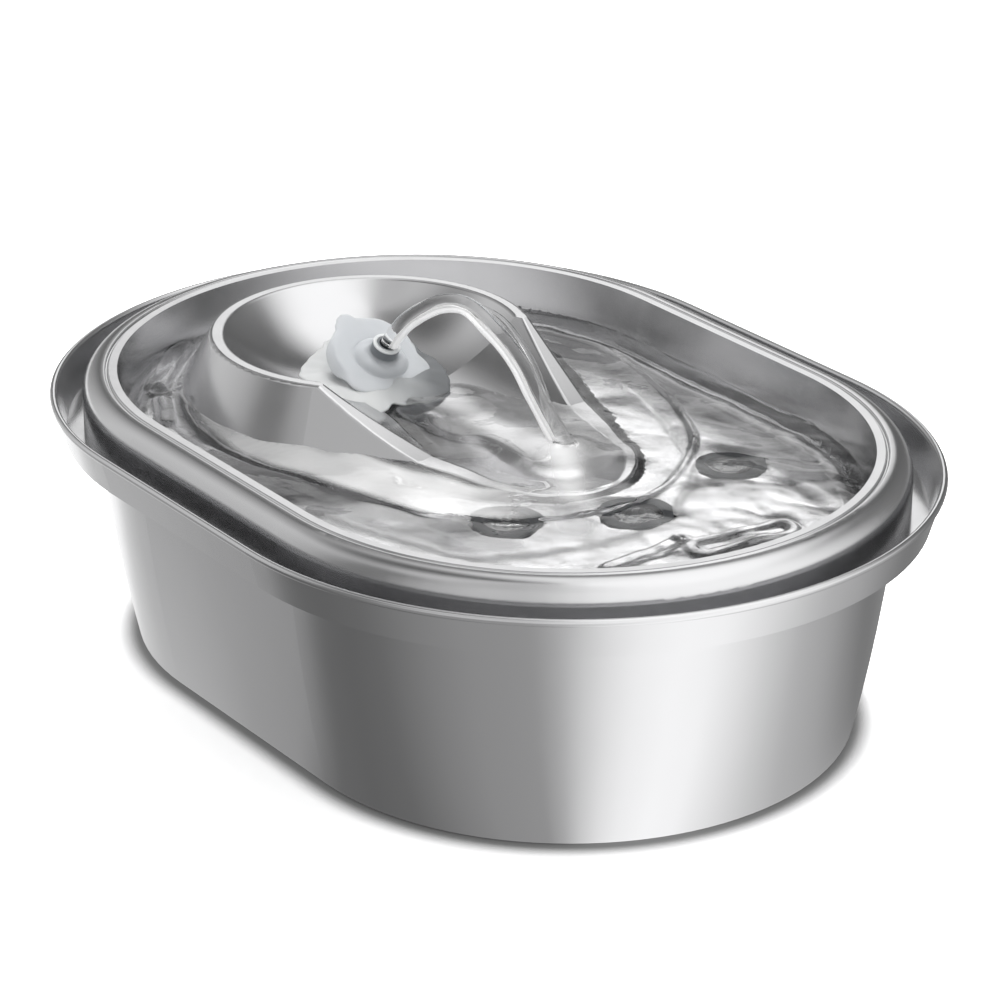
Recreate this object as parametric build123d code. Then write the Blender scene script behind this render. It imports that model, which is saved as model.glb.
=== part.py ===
"""Obround stainless-steel pet water fountain with a pump-fed flower spout.

Millimetres, +Z up. The origin is the middle of the basin's underside, X runs along the length.
The spout stands over the -X end and the chute runs from it towards +X.
"""

import os
from math import cos, radians, sin, tan

from build123d import *

# ---------------------------------------------------------------- driving dimensions
# Sheet steel and the obround plan that basin and tray share
SHEET = 0.8  # steel thickness
HALF_STRAIGHT = 40.2  # half the straight stretch of each long side
FORM_REACH = 200.0  # length of cutting bodies that run past the part
CUT_MARGIN = 1.0  # how far a cutting body runs past the face it cuts

# Basin
BASE_RADIUS = 85.5  # end radius at the underside
BASE_CORNER = 2.0  # rounding between floor and wall
NECK_RADIUS = 96.0  # end radius just under the ledge
WALL_BULGE = 1.1  # how far the wall bows out half way up
LEDGE_Z = 68.0  # underside of the ledge that the tray rests on
LEDGE_WIDTH = 10.1  # from the neck to the foot of the band above it
BAND_HEIGHT = 12.4  # from the ledge to the top of the rolled lip
BAND_FLARE = 3.9  # how far the band leans out, up to the lip
LIP_BEAD = 1.1  # radius of the rolled lip's section

# Tray
TRAY_GAP = 6.1  # finger gap between the tray and the foot of the band
TRAY_HEIGHT = 17.4  # top of the rim above the ledge
RIM_WIDTH = 10.7  # of the rim, from its outside to the pan's wall
BULLNOSE = 6.5  # its rounding
PAN_DEPTH = 26.2
PAN_DRAFT = 5.1  # how far the pan's wall leans in, down to the floor
PAN_CORNER = 5.0  # rounding between floor and wall
INNER_EDGE = 1.3  # rounding at the rim's inner edge
GROOVE_INSET = 3.2  # groove behind the inner edge
GROOVE_RADIUS = 0.7

# Island with bowl and chute
ISLAND_OVERLAP = 3.6  # how far the island's foot runs into the pan's end wall
CHUTE_TURN = 7.5  # degrees that the chute points away from the long axis
ISLAND_RISE = 3.0  # above the tray's rim
ISLAND_SLOPE = 29.5  # degrees between the outer wall and the vertical
BOWL_RADIUS = 46.0  # rim of the bowl
RIDGE_WIDTH = 3.88  # from the bowl's rim to the outer wall, before the rounding
BOWL_DEPTH = 19.5
SEAT_RADIUS = 11.0  # flat seat at the bottom of the bowl
RIDGE_ROUNDING = 1.5  # of the bowl's rim and the rails
CHUTE_LENGTH = 77.0  # from the bowl's centre to the centre of the chute's end
CHUTE_FOOT_RADIUS = 30.0  # outside of the chute's end at the pan floor
CHUTE_SECTION = 54.0  # radius of the channel's section
CHUTE_START_DEPTH = 18.7  # channel bottom below the island's top where the rails start
CHUTE_END_RISE = 2.0  # channel bottom above the pan floor at its end
RAIL_TURN = 57.1  # degrees from the chute's axis to where the rails leave the bowl's rim
RAIL_MID = (59.0, 16.0)  # along the chute, drop below the island's top
RAIL_LOW = (80.0, 22.2)
RAIL_END = (120.0, 24.7)
CREST_TOUCH = 0.01  # how near to the crest an edge counts as part of it

# Drain strainers
STRAINER_POSITIONS = ((43.0, -24.0), (60.0, 10.0), (48.0, 55.0))
STRAINER_RADIUS = 9.0
STRAINER_FLANGE = 2.0
STRAINER_THICKNESS = 1.0
STRAINER_CUP = 2.5  # depth of the cup below its flange
STRAINER_HOLE = 1.0
STRAINER_RINGS = ((3.0, 6), (6.0, 12))  # ring radius, number of holes

# Clearances
RUNNING = 0.05  # radial clearance of parts that turn or slide on each other
LOOSE = 0.3  # gap between neighbours that only pass each other
SLIDE_GAP = 0.4  # round a sliding cartridge

# Spout: riser tube, sleeve, grommet and flower
TUBE_RADIUS = 4.0
TUBE_BORE = 3.0
TUBE_ENTRY = 8.0  # how far the riser tube reaches into the sleeve
SLEEVE_RADIUS = 5.5
SLEEVE_DROP = 8.0  # sleeve below the grommet
SLEEVE_FLANGE_RADIUS = 8.0
SLEEVE_FLANGE = 1.2
SPIGOT_RADIUS = 4.5
SPIGOT_LENGTH = 5.0
GROMMET_HOLE = 7.0  # hole in the bowl's seat
GROMMET_FLANGE_RADIUS = 9.5
GROMMET_FLANGE = 1.2
FLOWER_TILT = 27.0  # degrees from the vertical, towards the chute
FLOWER_SHIFT = 3.9  # disc centre ahead of the sleeve's axis
FLOWER_RISE = 7.7  # disc centre above the sleeve's flange
FLOWER_RADIUS = 14.5  # of the round middle that the petals spring from
PETAL_COUNT = 5
PETAL_TURN = 40.0  # degrees from the chute to the first petal
PETAL_REACH = 18.0
PETAL_RADIUS = 7.5  # of a petal's round end
FLOWER_THICKNESS = 2.4
FLOWER_DOME_RADIUS = 8.5
FLOWER_DOME = 3.2
SOCKET_RADIUS = 6.6
COLLAR_RADIUS = 4.4
COLLAR_LENGTH = 4.3
SKIRT_RADIUS = 18.0  # of the round middle of the lower ring of petals
SKIRT_REACH = 23.0
SKIRT_TURN = 44.0  # degrees from the chute to its first petal
SKIRT_RISE = 3.1  # underside above the sleeve's flange
SKIRT_THICKNESS = 1.2
TAB_TURN = 215.0  # degrees from the chute to the petal that is folded up
TAB_RADIUS = 10.5
TAB_HALF_WIDTH = 3.6
TAB_THICKNESS = 1.6
TAB_TOP = 22.6  # its top above the sleeve's flange
TIP_RADIUS = 3.2
TIP_BORE = 2.5
TIP_LENGTH = 7.0

# Filter case, its lid and cups
CUP_HEIGHT = 3.4
CUP_RADIUS = 9.0
CUP_STEM_RADIUS = 2.2
CUP_INSET = 12.0  # cup centres from the case's walls
CASE_BEHIND = 50.4  # from the spout's axis to the case's back
CASE_AHEAD = 47.6  # from the spout's axis to the case's front
CASE_HALF_WIDTH = 38.0
CASE_HEIGHT = 46.0
CASE_WALL = 1.8
CASE_CORNER = 10.0
LID_THICKNESS = 2.0
LID_LIP = 3.0
LID_LIP_WALL = 1.6

# Pump
PUMP_HALF_WIDTH = 17.0
PUMP_HEIGHT = 32.0
PUMP_EDGE = 1.5
HOUSING_LENGTH = 37.0
VOLUTE_LENGTH = 13.0
OUTLET_BACK = 8.0  # outlet axis behind the volute's front face
CHAMBER_RADIUS = 12.5
CHAMBER_DEPTH = 10.5
OUTLET_BORE = 2.2
OUTLET_SPIGOT_LENGTH = 10.0
WELL_RADIUS = 8.5
WELL_DEPTH = 22.0
MAGNET_RADIUS = 7.8
MAGNET_BORE = 3.6
MAGNET_LENGTH = 18.0
IMPELLER_RADIUS = 11.2
IMPELLER_WIDTH = 7.0
IMPELLER_DISC = 1.2
BLADE_COUNT = 6
BLADE_THICKNESS = 1.2
SHAFT_RADIUS = 1.0
BUSH_RADIUS = 2.4
BUSH_LENGTH = 2.5
END_PLAY = 0.4
SEAL_RADIUS = 15.0
SEAL_WIDTH = 1.4
PORT_RADIUS = 1.8
PORT_CIRCLE = 4.6
PORT_COUNT = 4
BACK_PLATE = 1.5
SCREW_RADIUS = 1.0
SCREW_HEAD_RADIUS = 1.9
SCREW_HEAD = 1.2
SCREW_LENGTH = 6.0
SCREW_INSET = 3.0
STATOR_CHAMBER = 12.5  # depth of the chamber behind the magnet well
CORE_THICKNESS = 8.0
CORE_ARM = 4.0
CORE_ARM_LENGTH = 20.0
CORE_BRIDGE = 5.0
COIL_RADIAL = 3.0
COIL_HALF_LENGTH = 7.5
BOBBIN_WALL = 0.8
GLAND_RADIUS = 3.2
GLAND_BASE_RADIUS = 4.6
GLAND_LENGTH = 7.0
GLAND_BORE = 1.6
GLAND_COLLAR = 1.5  # thickness of its base
GLAND_FOOT = 2.0  # how deep it sits in the housing
GLAND_BACK = 31.0  # gland axis behind the housing's front face

# Flow dial, intake cover and foam
DIAL_RADIUS = 12.0
DIAL_THICKNESS = 1.8
DIAL_BOSS = 1.5
DIAL_LEVER = 3.0  # lever beyond the disc
DIAL_LEVER_WIDTH = 3.0
COVER_WALL = 1.5
COVER_DEPTH = 16.0
COVER_LAP = 3.0  # cover over the volute
COVER_SLOT = 2.0
COVER_SLOT_PITCH = 4.5
COVER_SLOT_COUNT = 6
FOAM_THICKNESS = 8.0

# Filter cartridge
CARTRIDGE_HALF_WIDTH = 33.0
CARTRIDGE_HEADROOM = 1.2  # under the lid's lip
CARTRIDGE_THICKNESS = 13.0
CARTRIDGE_WALL = 1.6
CARTRIDGE_FLANGE = 2.0
CARTRIDGE_FLANGE_EDGE = 3.0
GRILLE_SLOT = 3.0
GRILLE_PITCH = 6.0
GRILLE_COUNT = 9
PULL_LENGTH = 7.0
PULL_HEIGHT = 2.0
PULL_HALF_WIDTH = 12.0
COTTON = 3.0
RESIN = 3.0

# ---------------------------------------------------------------- derived places
PLAN_SHIFT = Pos(HALF_STRAIGHT, 0, 0)
FLOOR_TOP = SHEET
LEDGE_TOP = LEDGE_Z + SHEET
BAND_LOW_RADIUS = NECK_RADIUS + LEDGE_WIDTH
RIM_RADIUS = BAND_LOW_RADIUS + BAND_FLARE
RIM_Z = LEDGE_Z + BAND_HEIGHT
TRAY_RADIUS = BAND_LOW_RADIUS - TRAY_GAP
TRAY_TOP_Z = LEDGE_TOP + TRAY_HEIGHT
PAN_TOP_RADIUS = TRAY_RADIUS - RIM_WIDTH
PAN_FLOOR_RADIUS = PAN_TOP_RADIUS - PAN_DRAFT
PAN_FLOOR_Z = TRAY_TOP_Z - PAN_DEPTH
ISLAND_TOP_Z = TRAY_TOP_Z + ISLAND_RISE
ISLAND_SPREAD = tan(radians(ISLAND_SLOPE)) * (ISLAND_TOP_Z - PAN_FLOOR_Z)
ISLAND_FOOT_RADIUS = BOWL_RADIUS + RIDGE_WIDTH + ISLAND_SPREAD
BOWL_X = ISLAND_FOOT_RADIUS - ISLAND_OVERLAP - PAN_FLOOR_RADIUS - HALF_STRAIGHT
BOWL = Pos(BOWL_X, 0, 0)
CHUTE = BOWL * Rot(0, 0, CHUTE_TURN)
RAIL_START = BOWL_RADIUS * cos(radians(RAIL_TURN))
BOWL_SPHERE = (BOWL_RADIUS**2 + BOWL_DEPTH**2) / (2 * BOWL_DEPTH)
SEAT_Z = ISLAND_TOP_Z - BOWL_DEPTH
SEAT_UNDER = SEAT_Z - SHEET
CASE_BACK_X = BOWL_X - CASE_BEHIND
CASE_FRONT_X = BOWL_X + CASE_AHEAD
CASE_Z = FLOOR_TOP + CUP_HEIGHT
CASE_FLOOR = CASE_Z + CASE_WALL
CASE_TOP = CASE_Z + CASE_HEIGHT
AXIS_Z = CASE_FLOOR + PUMP_HEIGHT / 2
PUMP_TOP = CASE_FLOOR + PUMP_HEIGHT
VOLUTE_FRONT = BOWL_X + OUTLET_BACK
HOUSING_FRONT = VOLUTE_FRONT - VOLUTE_LENGTH
HOUSING_BACK = HOUSING_FRONT - HOUSING_LENGTH
TUBE_TOP = SEAT_UNDER - GROMMET_FLANGE - SLEEVE_DROP + TUBE_ENTRY
TUBE_FOOT = PUMP_TOP
CHAMBER_FRONT = HOUSING_FRONT + CHAMBER_DEPTH
WELL_END = HOUSING_FRONT - WELL_DEPTH
FLOWER_FOOT = SEAT_Z + GROMMET_FLANGE + SLEEVE_FLANGE
FLOWER_Z = FLOWER_FOOT + FLOWER_RISE
SOCKET_ROOF = FLOWER_FOOT + SPIGOT_LENGTH + LOOSE
DISC = CHUTE * Pos(FLOWER_SHIFT, 0, FLOWER_Z) * Rot(0, FLOWER_TILT, 0)
TIP_SEAT = FLOWER_DOME + COLLAR_LENGTH - TIP_LENGTH
SHAFT_START = WELL_END - BUSH_LENGTH
SHAFT_END = CHAMBER_FRONT + BUSH_LENGTH - SHEET
MAGNET_START = WELL_END + END_PLAY
MAGNET_END = MAGNET_START + MAGNET_LENGTH
BLADES_START = HOUSING_FRONT + END_PLAY
BLADES_END = BLADES_START + IMPELLER_DISC + IMPELLER_WIDTH
CORE_LOW = AXIS_Z - CORE_THICKNESS / 2
ARM_START = HOUSING_BACK + STATOR_CHAMBER
ARM_INNER = WELL_RADIUS + COVER_WALL
ARM_OUTER = ARM_INNER + CORE_ARM
BRIDGE_BACK = HOUSING_BACK + COIL_RADIAL + BOBBIN_WALL + LOOSE
BRIDGE_FRONT = BRIDGE_BACK + CORE_BRIDGE
CARTRIDGE_BACK = CASE_FRONT_X - CARTRIDGE_THICKNESS
CARTRIDGE_LOW = CASE_FLOOR + SLIDE_GAP / 2
CARTRIDGE_HIGH = CASE_TOP - LID_LIP - CARTRIDGE_HEADROOM
ALONG_X = Plane.YZ  # a section drawn here grows along +X
BASE_UP = (Align.CENTER, Align.CENTER, Align.MIN)


# ---------------------------------------------------------------- helpers
def obround(section):
    """Sweeps a section, drawn as (radius, height), round the obround plan."""
    face = Plane.XZ * section
    cap = PLAN_SHIFT * Rot(0, 0, -90) * revolve(face, Axis.Z, 180)
    side = extrude(Rot(0, 0, 90) * face, HALF_STRAIGHT, both=True)
    half = cap + side
    return half + Rot(0, 0, 180) * half


def turned(section):
    """Revolves a section, drawn as (radius, height), about +Z."""
    return revolve(Plane.XZ * section, Axis.Z, 360)


def ring(outer, inner, low, high):
    """A plain vertical ring between two heights."""
    tube = Circle(outer) - Circle(inner)
    return Pos(0, 0, low) * extrude(tube, high - low)


def rod_x(radius, start, end, y=0.0, z=AXIS_Z):
    """A cylinder along X between two places."""
    return Pos(start, y, z) * extrude(ALONG_X * Circle(radius), end - start)


def block(x0, x1, y0, y1, z0, z1):
    """A box between two corners."""
    centre = Pos((x0 + x1) / 2, (y0 + y1) / 2, (z0 + z1) / 2)
    return centre * Box(x1 - x0, y1 - y0, z1 - z0)


def rounded_block(x0, x1, half_width, z0, z1, edge):
    """A box about the pump's axis plane, with its long edges rounded."""
    outline = RectangleRounded(2 * half_width, z1 - z0, edge)
    return Pos(x0, 0, (z0 + z1) / 2) * extrude(ALONG_X * outline, x1 - x0)


def polar(radius, count, start=0.0):
    """Places evenly spaced round the pump's axis."""
    step = 360 / count
    angles = [radians(start + step * n) for n in range(count)]
    return [(radius * cos(a), AXIS_Z + radius * sin(a)) for a in angles]


def write(name, shape):
    """Saves one sub-part, named after its node."""
    shape.label = name
    export_step(shape, f"parts/{name}.step")
    print(name)


# ---------------------------------------------------------------- basin
def basin_form(inset):
    """The basin's filled shape, with every surface moved in by inset."""
    foot = (BASE_RADIUS - inset, inset)
    neck = (NECK_RADIUS - inset, LEDGE_Z + inset)
    belly = ((foot[0] + neck[0]) / 2 + WALL_BULGE, (foot[1] + neck[1]) / 2)
    band_top = (RIM_RADIUS - LIP_BEAD + SHEET / 2 - inset, RIM_Z - LIP_BEAD + inset)
    outline = [
        Line((0, inset), foot),
        ThreePointArc(foot, belly, neck),
        Polyline(neck, (BAND_LOW_RADIUS - inset, LEDGE_Z + inset), band_top, (0, band_top[1])),
        Line((0, band_top[1]), (0, inset)),
    ]
    section = make_face(outline)
    corner = section.vertices().sort_by(lambda v: abs(v.X - foot[0]) + abs(v.Y - foot[1]))[0]
    return obround(fillet(corner, BASE_CORNER))


def make_basin():
    shell = basin_form(0) - basin_form(SHEET)
    lip = Pos(RIM_RADIUS - LIP_BEAD, RIM_Z - LIP_BEAD) * Circle(LIP_BEAD)
    return shell + obround(lip)


# ---------------------------------------------------------------- tray
def rim_form(inset):
    """Everything under the tray's bullnose rim, before the pan is sunk into it."""
    edge = TRAY_RADIUS - inset
    top = TRAY_TOP_Z - inset
    low = PAN_FLOOR_Z - BULLNOSE
    outline = Polyline((0, low), (edge, low), (edge, top), (0, top), close=True)
    section = make_face(outline)
    corner = section.vertices().sort_by(lambda v: -v.X - v.Y)[0]
    section = fillet(corner, BULLNOSE - inset)
    groove = Pos(PAN_TOP_RADIUS + GROOVE_INSET, TRAY_TOP_Z) * Circle(GROOVE_RADIUS + inset)
    return obround(section - groove)


def pan_form(growth):
    """The space of the drinking pan, with its walls moved out by growth."""
    floor = PAN_FLOOR_Z - growth
    draft = (PAN_TOP_RADIUS - PAN_FLOOR_RADIUS) / (TRAY_TOP_Z - PAN_FLOOR_Z)
    top = TRAY_TOP_Z + INNER_EDGE
    wide = PAN_TOP_RADIUS + growth + draft * INNER_EDGE
    narrow = PAN_FLOOR_RADIUS + growth
    outline = Polyline((0, floor), (narrow, floor), (wide, top), (0, top), close=True)
    section = make_face(outline)
    corner = section.vertices().sort_by(lambda v: v.Y - v.X)[0]
    return obround(fillet(corner, PAN_CORNER + growth))


def crest_lines(inset):
    """The island's crest seen from the side: flat over the bowl, then down along the rails."""
    top = ISLAND_TOP_Z - inset
    rail = [(RAIL_START, top)] + [(x, top - drop) for x, drop in (RAIL_MID, RAIL_LOW, RAIL_END)]
    return Line((-FORM_REACH, top), (RAIL_START, top)), Spline(*rail)


def island_form(inset):
    """The filled island: a steep-sided hill, hulled to the chute's end and cut off along the rails."""
    skirt = inset / cos(radians(ISLAND_SLOPE))
    drop = PAN_FLOOR_Z - SHEET - inset
    flare = tan(radians(ISLAND_SLOPE)) * (PAN_FLOOR_Z - drop)
    near = Circle(ISLAND_FOOT_RADIUS - skirt + flare)
    far = Pos(CHUTE_LENGTH, 0) * Circle(CHUTE_FOOT_RADIUS - skirt + flare)
    outline = make_hull(near.edges() + far.edges())
    hill = extrude(outline, ISLAND_TOP_Z + CUT_MARGIN - drop, taper=ISLAND_SLOPE)
    flat, rail = crest_lines(inset)
    low = drop - CUT_MARGIN
    frame = Polyline(rail @ 1, (RAIL_END[0], low), (-FORM_REACH, low), flat @ 0)
    side = Plane.XZ * make_face([flat, rail, frame])
    return Pos(0, 0, drop) * hill & extrude(side, FORM_REACH, both=True)


def flow_form(growth):
    """The space of the bowl and the chute, with its walls moved out by growth."""
    bowl = Pos(0, 0, SEAT_Z + BOWL_SPHERE) * Sphere(BOWL_SPHERE + growth)
    seat = Pos(0, 0, SEAT_Z - growth) * extrude(Circle(SEAT_RADIUS + growth), BOWL_DEPTH)
    start = Vector(RAIL_START, 0, ISLAND_TOP_Z - CHUTE_START_DEPTH)
    end = Vector(CHUTE_LENGTH, 0, PAN_FLOOR_Z + CHUTE_END_RISE)
    run = end - start
    lift = Vector(-run.Z, 0, run.X).normalized() * CHUTE_SECTION
    line = Plane(origin=start + lift, x_dir=(0, 1, 0), z_dir=run)
    channel = extrude(line * Circle(CHUTE_SECTION + growth), run.length)
    spoon = Pos(end + lift) * Sphere(CHUTE_SECTION + growth)
    back = extrude(line * Circle(CHUTE_SECTION + growth), -RAIL_START)
    return bowl + seat + channel + spoon + back


def rounded_island(inset):
    """The island with its bowl and chute sunk into it, and with its crest rounded."""
    hill = island_form(inset) - flow_form(inset)
    crest = [Plane.XZ * line for line in crest_lines(inset)]

    def on_crest(edge):
        middle = edge @ 0.5
        shadow = Vertex(middle.X, 0, middle.Z)
        gap = min(line.distance_to(shadow) for line in crest)
        return gap < CREST_TOUCH and edge.length > SEAT_RADIUS

    return fillet(hill.edges().filter_by(on_crest), RIDGE_ROUNDING - inset)


def tray_form(inset):
    """The tray's filled shape, with every surface moved into the sheet by inset."""
    return rim_form(inset) - pan_form(inset) + CHUTE * rounded_island(inset)


def make_tray():
    shell = tray_form(0) - tray_form(SHEET)
    skirt = Rectangle(2 * TRAY_RADIUS, LEDGE_TOP, align=(Align.MIN, Align.MIN))
    outside = Pos(PAN_TOP_RADIUS + 2 * SHEET, 0) * skirt
    shell -= obround(outside)
    shell -= BOWL * Pos(0, 0, SEAT_Z) * Cylinder(GROMMET_HOLE, 2 * (SHEET + CUT_MARGIN))
    for x, y in STRAINER_POSITIONS:
        shell -= Pos(x, y, PAN_FLOOR_Z) * Cylinder(STRAINER_RADIUS, 2 * (SHEET + CUT_MARGIN))
    return shell


def make_strainers():
    wall = STRAINER_RADIUS - LOOSE
    flange = STRAINER_RADIUS + STRAINER_FLANGE
    cup_floor = PAN_FLOOR_Z - SHEET - STRAINER_CUP
    top = PAN_FLOOR_Z + STRAINER_THICKNESS
    shape = ring(flange, wall - STRAINER_THICKNESS, PAN_FLOOR_Z, top)
    shape += ring(wall, wall - STRAINER_THICKNESS, cup_floor, PAN_FLOOR_Z)
    shape += Pos(0, 0, cup_floor) * Cylinder(wall, STRAINER_THICKNESS, align=BASE_UP)
    for radius, count in STRAINER_RINGS:
        for n in range(count):
            place = Rot(0, 0, 360 * n / count) * Pos(radius, 0, cup_floor)
            shape -= place * Cylinder(STRAINER_HOLE, 2 * (STRAINER_THICKNESS + CUT_MARGIN))
    return Compound(children=[Pos(x, y, 0) * shape for x, y in STRAINER_POSITIONS])


# ---------------------------------------------------------------- spout
def make_grommet():
    bore = SLEEVE_RADIUS + RUNNING
    neck = ring(GROMMET_HOLE, bore, SEAT_UNDER, SEAT_Z)
    upper = ring(GROMMET_FLANGE_RADIUS, bore, SEAT_Z, SEAT_Z + GROMMET_FLANGE)
    lower = ring(GROMMET_FLANGE_RADIUS, bore, SEAT_UNDER - GROMMET_FLANGE, SEAT_UNDER)
    return BOWL * (neck + upper + lower)


def make_sleeve():
    foot = SEAT_UNDER - GROMMET_FLANGE - SLEEVE_DROP
    body = ring(SLEEVE_RADIUS, TUBE_RADIUS + LOOSE, foot, TUBE_TOP + LOOSE)
    body += ring(SLEEVE_RADIUS, TUBE_BORE, TUBE_TOP + LOOSE, FLOWER_FOOT)
    body += ring(SLEEVE_FLANGE_RADIUS, TUBE_BORE, SEAT_Z + GROMMET_FLANGE, FLOWER_FOOT)
    body += ring(SPIGOT_RADIUS, TUBE_BORE, FLOWER_FOOT, FLOWER_FOOT + SPIGOT_LENGTH)
    return CHUTE * body


def petal_plan(middle, reach, turn):
    """Outline of a ring of petals: a round middle with a round end on each petal."""
    lobe = Pos(reach - PETAL_RADIUS, 0) * Circle(PETAL_RADIUS)
    turns = [turn + 360 * k / PETAL_COUNT for k in range(PETAL_COUNT)]
    return Circle(middle) + [Rot(0, 0, angle) * lobe for angle in turns]


def make_flower():
    dome = Pos(0, 0, FLOWER_THICKNESS / 2) * Cylinder(FLOWER_DOME_RADIUS, FLOWER_DOME, align=BASE_UP)
    dome = fillet(dome.edges().group_by(Axis.Z)[-1], FLOWER_DOME / 2)
    upper = extrude(petal_plan(FLOWER_RADIUS, PETAL_REACH, PETAL_TURN), FLOWER_THICKNESS)
    petals = Pos(0, 0, -FLOWER_THICKNESS / 2) * upper
    collar = Cylinder(COLLAR_RADIUS, FLOWER_DOME + COLLAR_LENGTH, align=BASE_UP)
    foot = CHUTE * Pos(0, 0, FLOWER_FOOT)
    body = foot * Cylinder(SOCKET_RADIUS, FLOWER_Z - FLOWER_FOOT, align=BASE_UP)
    body += DISC * (petals + dome + collar)
    skirt = extrude(petal_plan(SKIRT_RADIUS, SKIRT_REACH, SKIRT_TURN), SKIRT_THICKNESS)
    body += foot * Pos(0, 0, SKIRT_RISE) * skirt
    tab = Box(TAB_THICKNESS, 2 * TAB_HALF_WIDTH, TAB_TOP - SKIRT_RISE, align=BASE_UP)
    tab = fillet(tab.edges().filter_by(Axis.X), TAB_HALF_WIDTH - TAB_THICKNESS)
    body += foot * Rot(0, 0, TAB_TURN) * Pos(TAB_RADIUS, 0, SKIRT_RISE) * tab
    # Only the socket reaches below the skirt, so that the flower clears the bowl as it swivels
    above = Cylinder(FORM_REACH, FORM_REACH, align=BASE_UP)
    above -= ring(FORM_REACH, SOCKET_RADIUS, 0, SKIRT_RISE)
    body &= foot * above
    body -= foot * Cylinder(SPIGOT_RADIUS + RUNNING, SOCKET_ROOF - FLOWER_FOOT, align=BASE_UP)
    body -= foot * Cylinder(TUBE_BORE, FLOWER_Z - FLOWER_FOOT, align=BASE_UP)
    body -= DISC * Pos(0, 0, TIP_SEAT) * Cylinder(TIP_RADIUS, FORM_REACH, align=BASE_UP)
    return body - DISC * Cylinder(TIP_BORE, FORM_REACH, align=BASE_UP)


def make_jet_tip():
    return DISC * ring(TIP_RADIUS, TIP_BORE, TIP_SEAT, TIP_SEAT + TIP_LENGTH)


def make_riser_tube():
    return BOWL * ring(TUBE_RADIUS, TUBE_BORE, TUBE_FOOT, TUBE_TOP)


# ---------------------------------------------------------------- filter case
def case_outline(inset):
    """The case's plan, with its walls moved in by inset."""
    length = CASE_FRONT_X - CASE_BACK_X - 2 * inset
    width = 2 * (CASE_HALF_WIDTH - inset)
    middle = (CASE_FRONT_X + CASE_BACK_X) / 2
    return Pos(middle, 0) * RectangleRounded(length, width, CASE_CORNER - inset)


def cup_places():
    half_length = (CASE_FRONT_X - CASE_BACK_X) / 2 - CUP_INSET
    half_width = CASE_HALF_WIDTH - CUP_INSET
    middle = Pos((CASE_FRONT_X + CASE_BACK_X) / 2, 0, 0)
    return [middle * spot for spot in GridLocations(2 * half_length, 2 * half_width, 2, 2)]


def make_case():
    shell = Pos(0, 0, CASE_Z) * extrude(case_outline(0), CASE_HEIGHT)
    shell -= Pos(0, 0, CASE_FLOOR) * extrude(case_outline(CASE_WALL), CASE_HEIGHT)
    high = CARTRIDGE_HIGH + SLIDE_GAP
    side = CARTRIDGE_HALF_WIDTH + SLIDE_GAP
    depth = CARTRIDGE_THICKNESS + SLIDE_GAP
    shell -= block(CASE_FRONT_X - depth, CASE_FRONT_X, -side, side, CASE_FLOOR, high)
    for place in cup_places():
        shell -= place * Pos(0, 0, CASE_Z) * Cylinder(CUP_STEM_RADIUS, CASE_WALL, align=BASE_UP)
    return shell


def make_lid():
    plate = Pos(0, 0, CASE_TOP) * extrude(case_outline(0), LID_THICKNESS)
    lip = case_outline(CASE_WALL + LOOSE) - case_outline(CASE_WALL + LOOSE + LID_LIP_WALL)
    lid = plate + Pos(0, 0, CASE_TOP - LID_LIP) * extrude(lip, LID_LIP)
    lid -= BOWL * Pos(0, 0, CASE_TOP) * Cylinder(TUBE_RADIUS + LOOSE, LID_THICKNESS, align=BASE_UP)
    gland_x = HOUSING_FRONT - GLAND_BACK
    hole = Cylinder(GLAND_RADIUS + LOOSE, LID_THICKNESS, align=BASE_UP)
    return lid - Pos(gland_x, 0, CASE_TOP) * hole


def make_cups():
    top = CASE_Z
    stem_top = CASE_FLOOR
    outline = [
        (0, top),
        (0, stem_top),
        (CUP_STEM_RADIUS, stem_top),
        (CUP_STEM_RADIUS, top),
        (CUP_RADIUS / 2, top),
        (CUP_RADIUS, FLOOR_TOP + SHEET),
        (CUP_RADIUS, FLOOR_TOP),
        (CUP_RADIUS - SHEET, FLOOR_TOP),
        (0, top - 2 * SHEET),
    ]
    cup = turned(make_face(Polyline(*outline, close=True)))
    return Compound(children=[place * cup for place in cup_places()])


# ---------------------------------------------------------------- pump
def make_housing():
    body = rounded_block(
        HOUSING_BACK, HOUSING_FRONT, PUMP_HALF_WIDTH, CASE_FLOOR, PUMP_TOP, PUMP_EDGE
    )
    body -= rod_x(WELL_RADIUS, WELL_END, HOUSING_FRONT)
    body -= rod_x(BUSH_RADIUS, SHAFT_START, WELL_END)
    side = PUMP_HALF_WIDTH - COVER_WALL
    low, high = AXIS_Z - CORE_THICKNESS, AXIS_Z + CORE_THICKNESS
    body -= block(HOUSING_BACK, ARM_START, -side, side, low, high)
    reach = ARM_START + CORE_ARM_LENGTH
    for y in (ARM_INNER, -ARM_OUTER):
        body -= block(ARM_START, reach, y, y + CORE_ARM, CORE_LOW, CORE_LOW + CORE_THICKNESS)
    body -= make_seal()
    for x, y, z in screw_places():
        body -= rod_x(SCREW_RADIUS, x, x + SCREW_LENGTH, y, z)
    foot = Cylinder(GLAND_RADIUS, GLAND_FOOT, align=BASE_UP)
    return body - Pos(HOUSING_FRONT - GLAND_BACK, 0, PUMP_TOP - GLAND_FOOT) * foot


def screw_places():
    half_width = PUMP_HALF_WIDTH - SCREW_INSET
    half_height = PUMP_HEIGHT / 2 - SCREW_INSET
    corners = [(y, z) for y in (-half_width, half_width) for z in (-half_height, half_height)]
    return [(HOUSING_BACK - BACK_PLATE, y, AXIS_Z + z) for y, z in corners]


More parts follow.
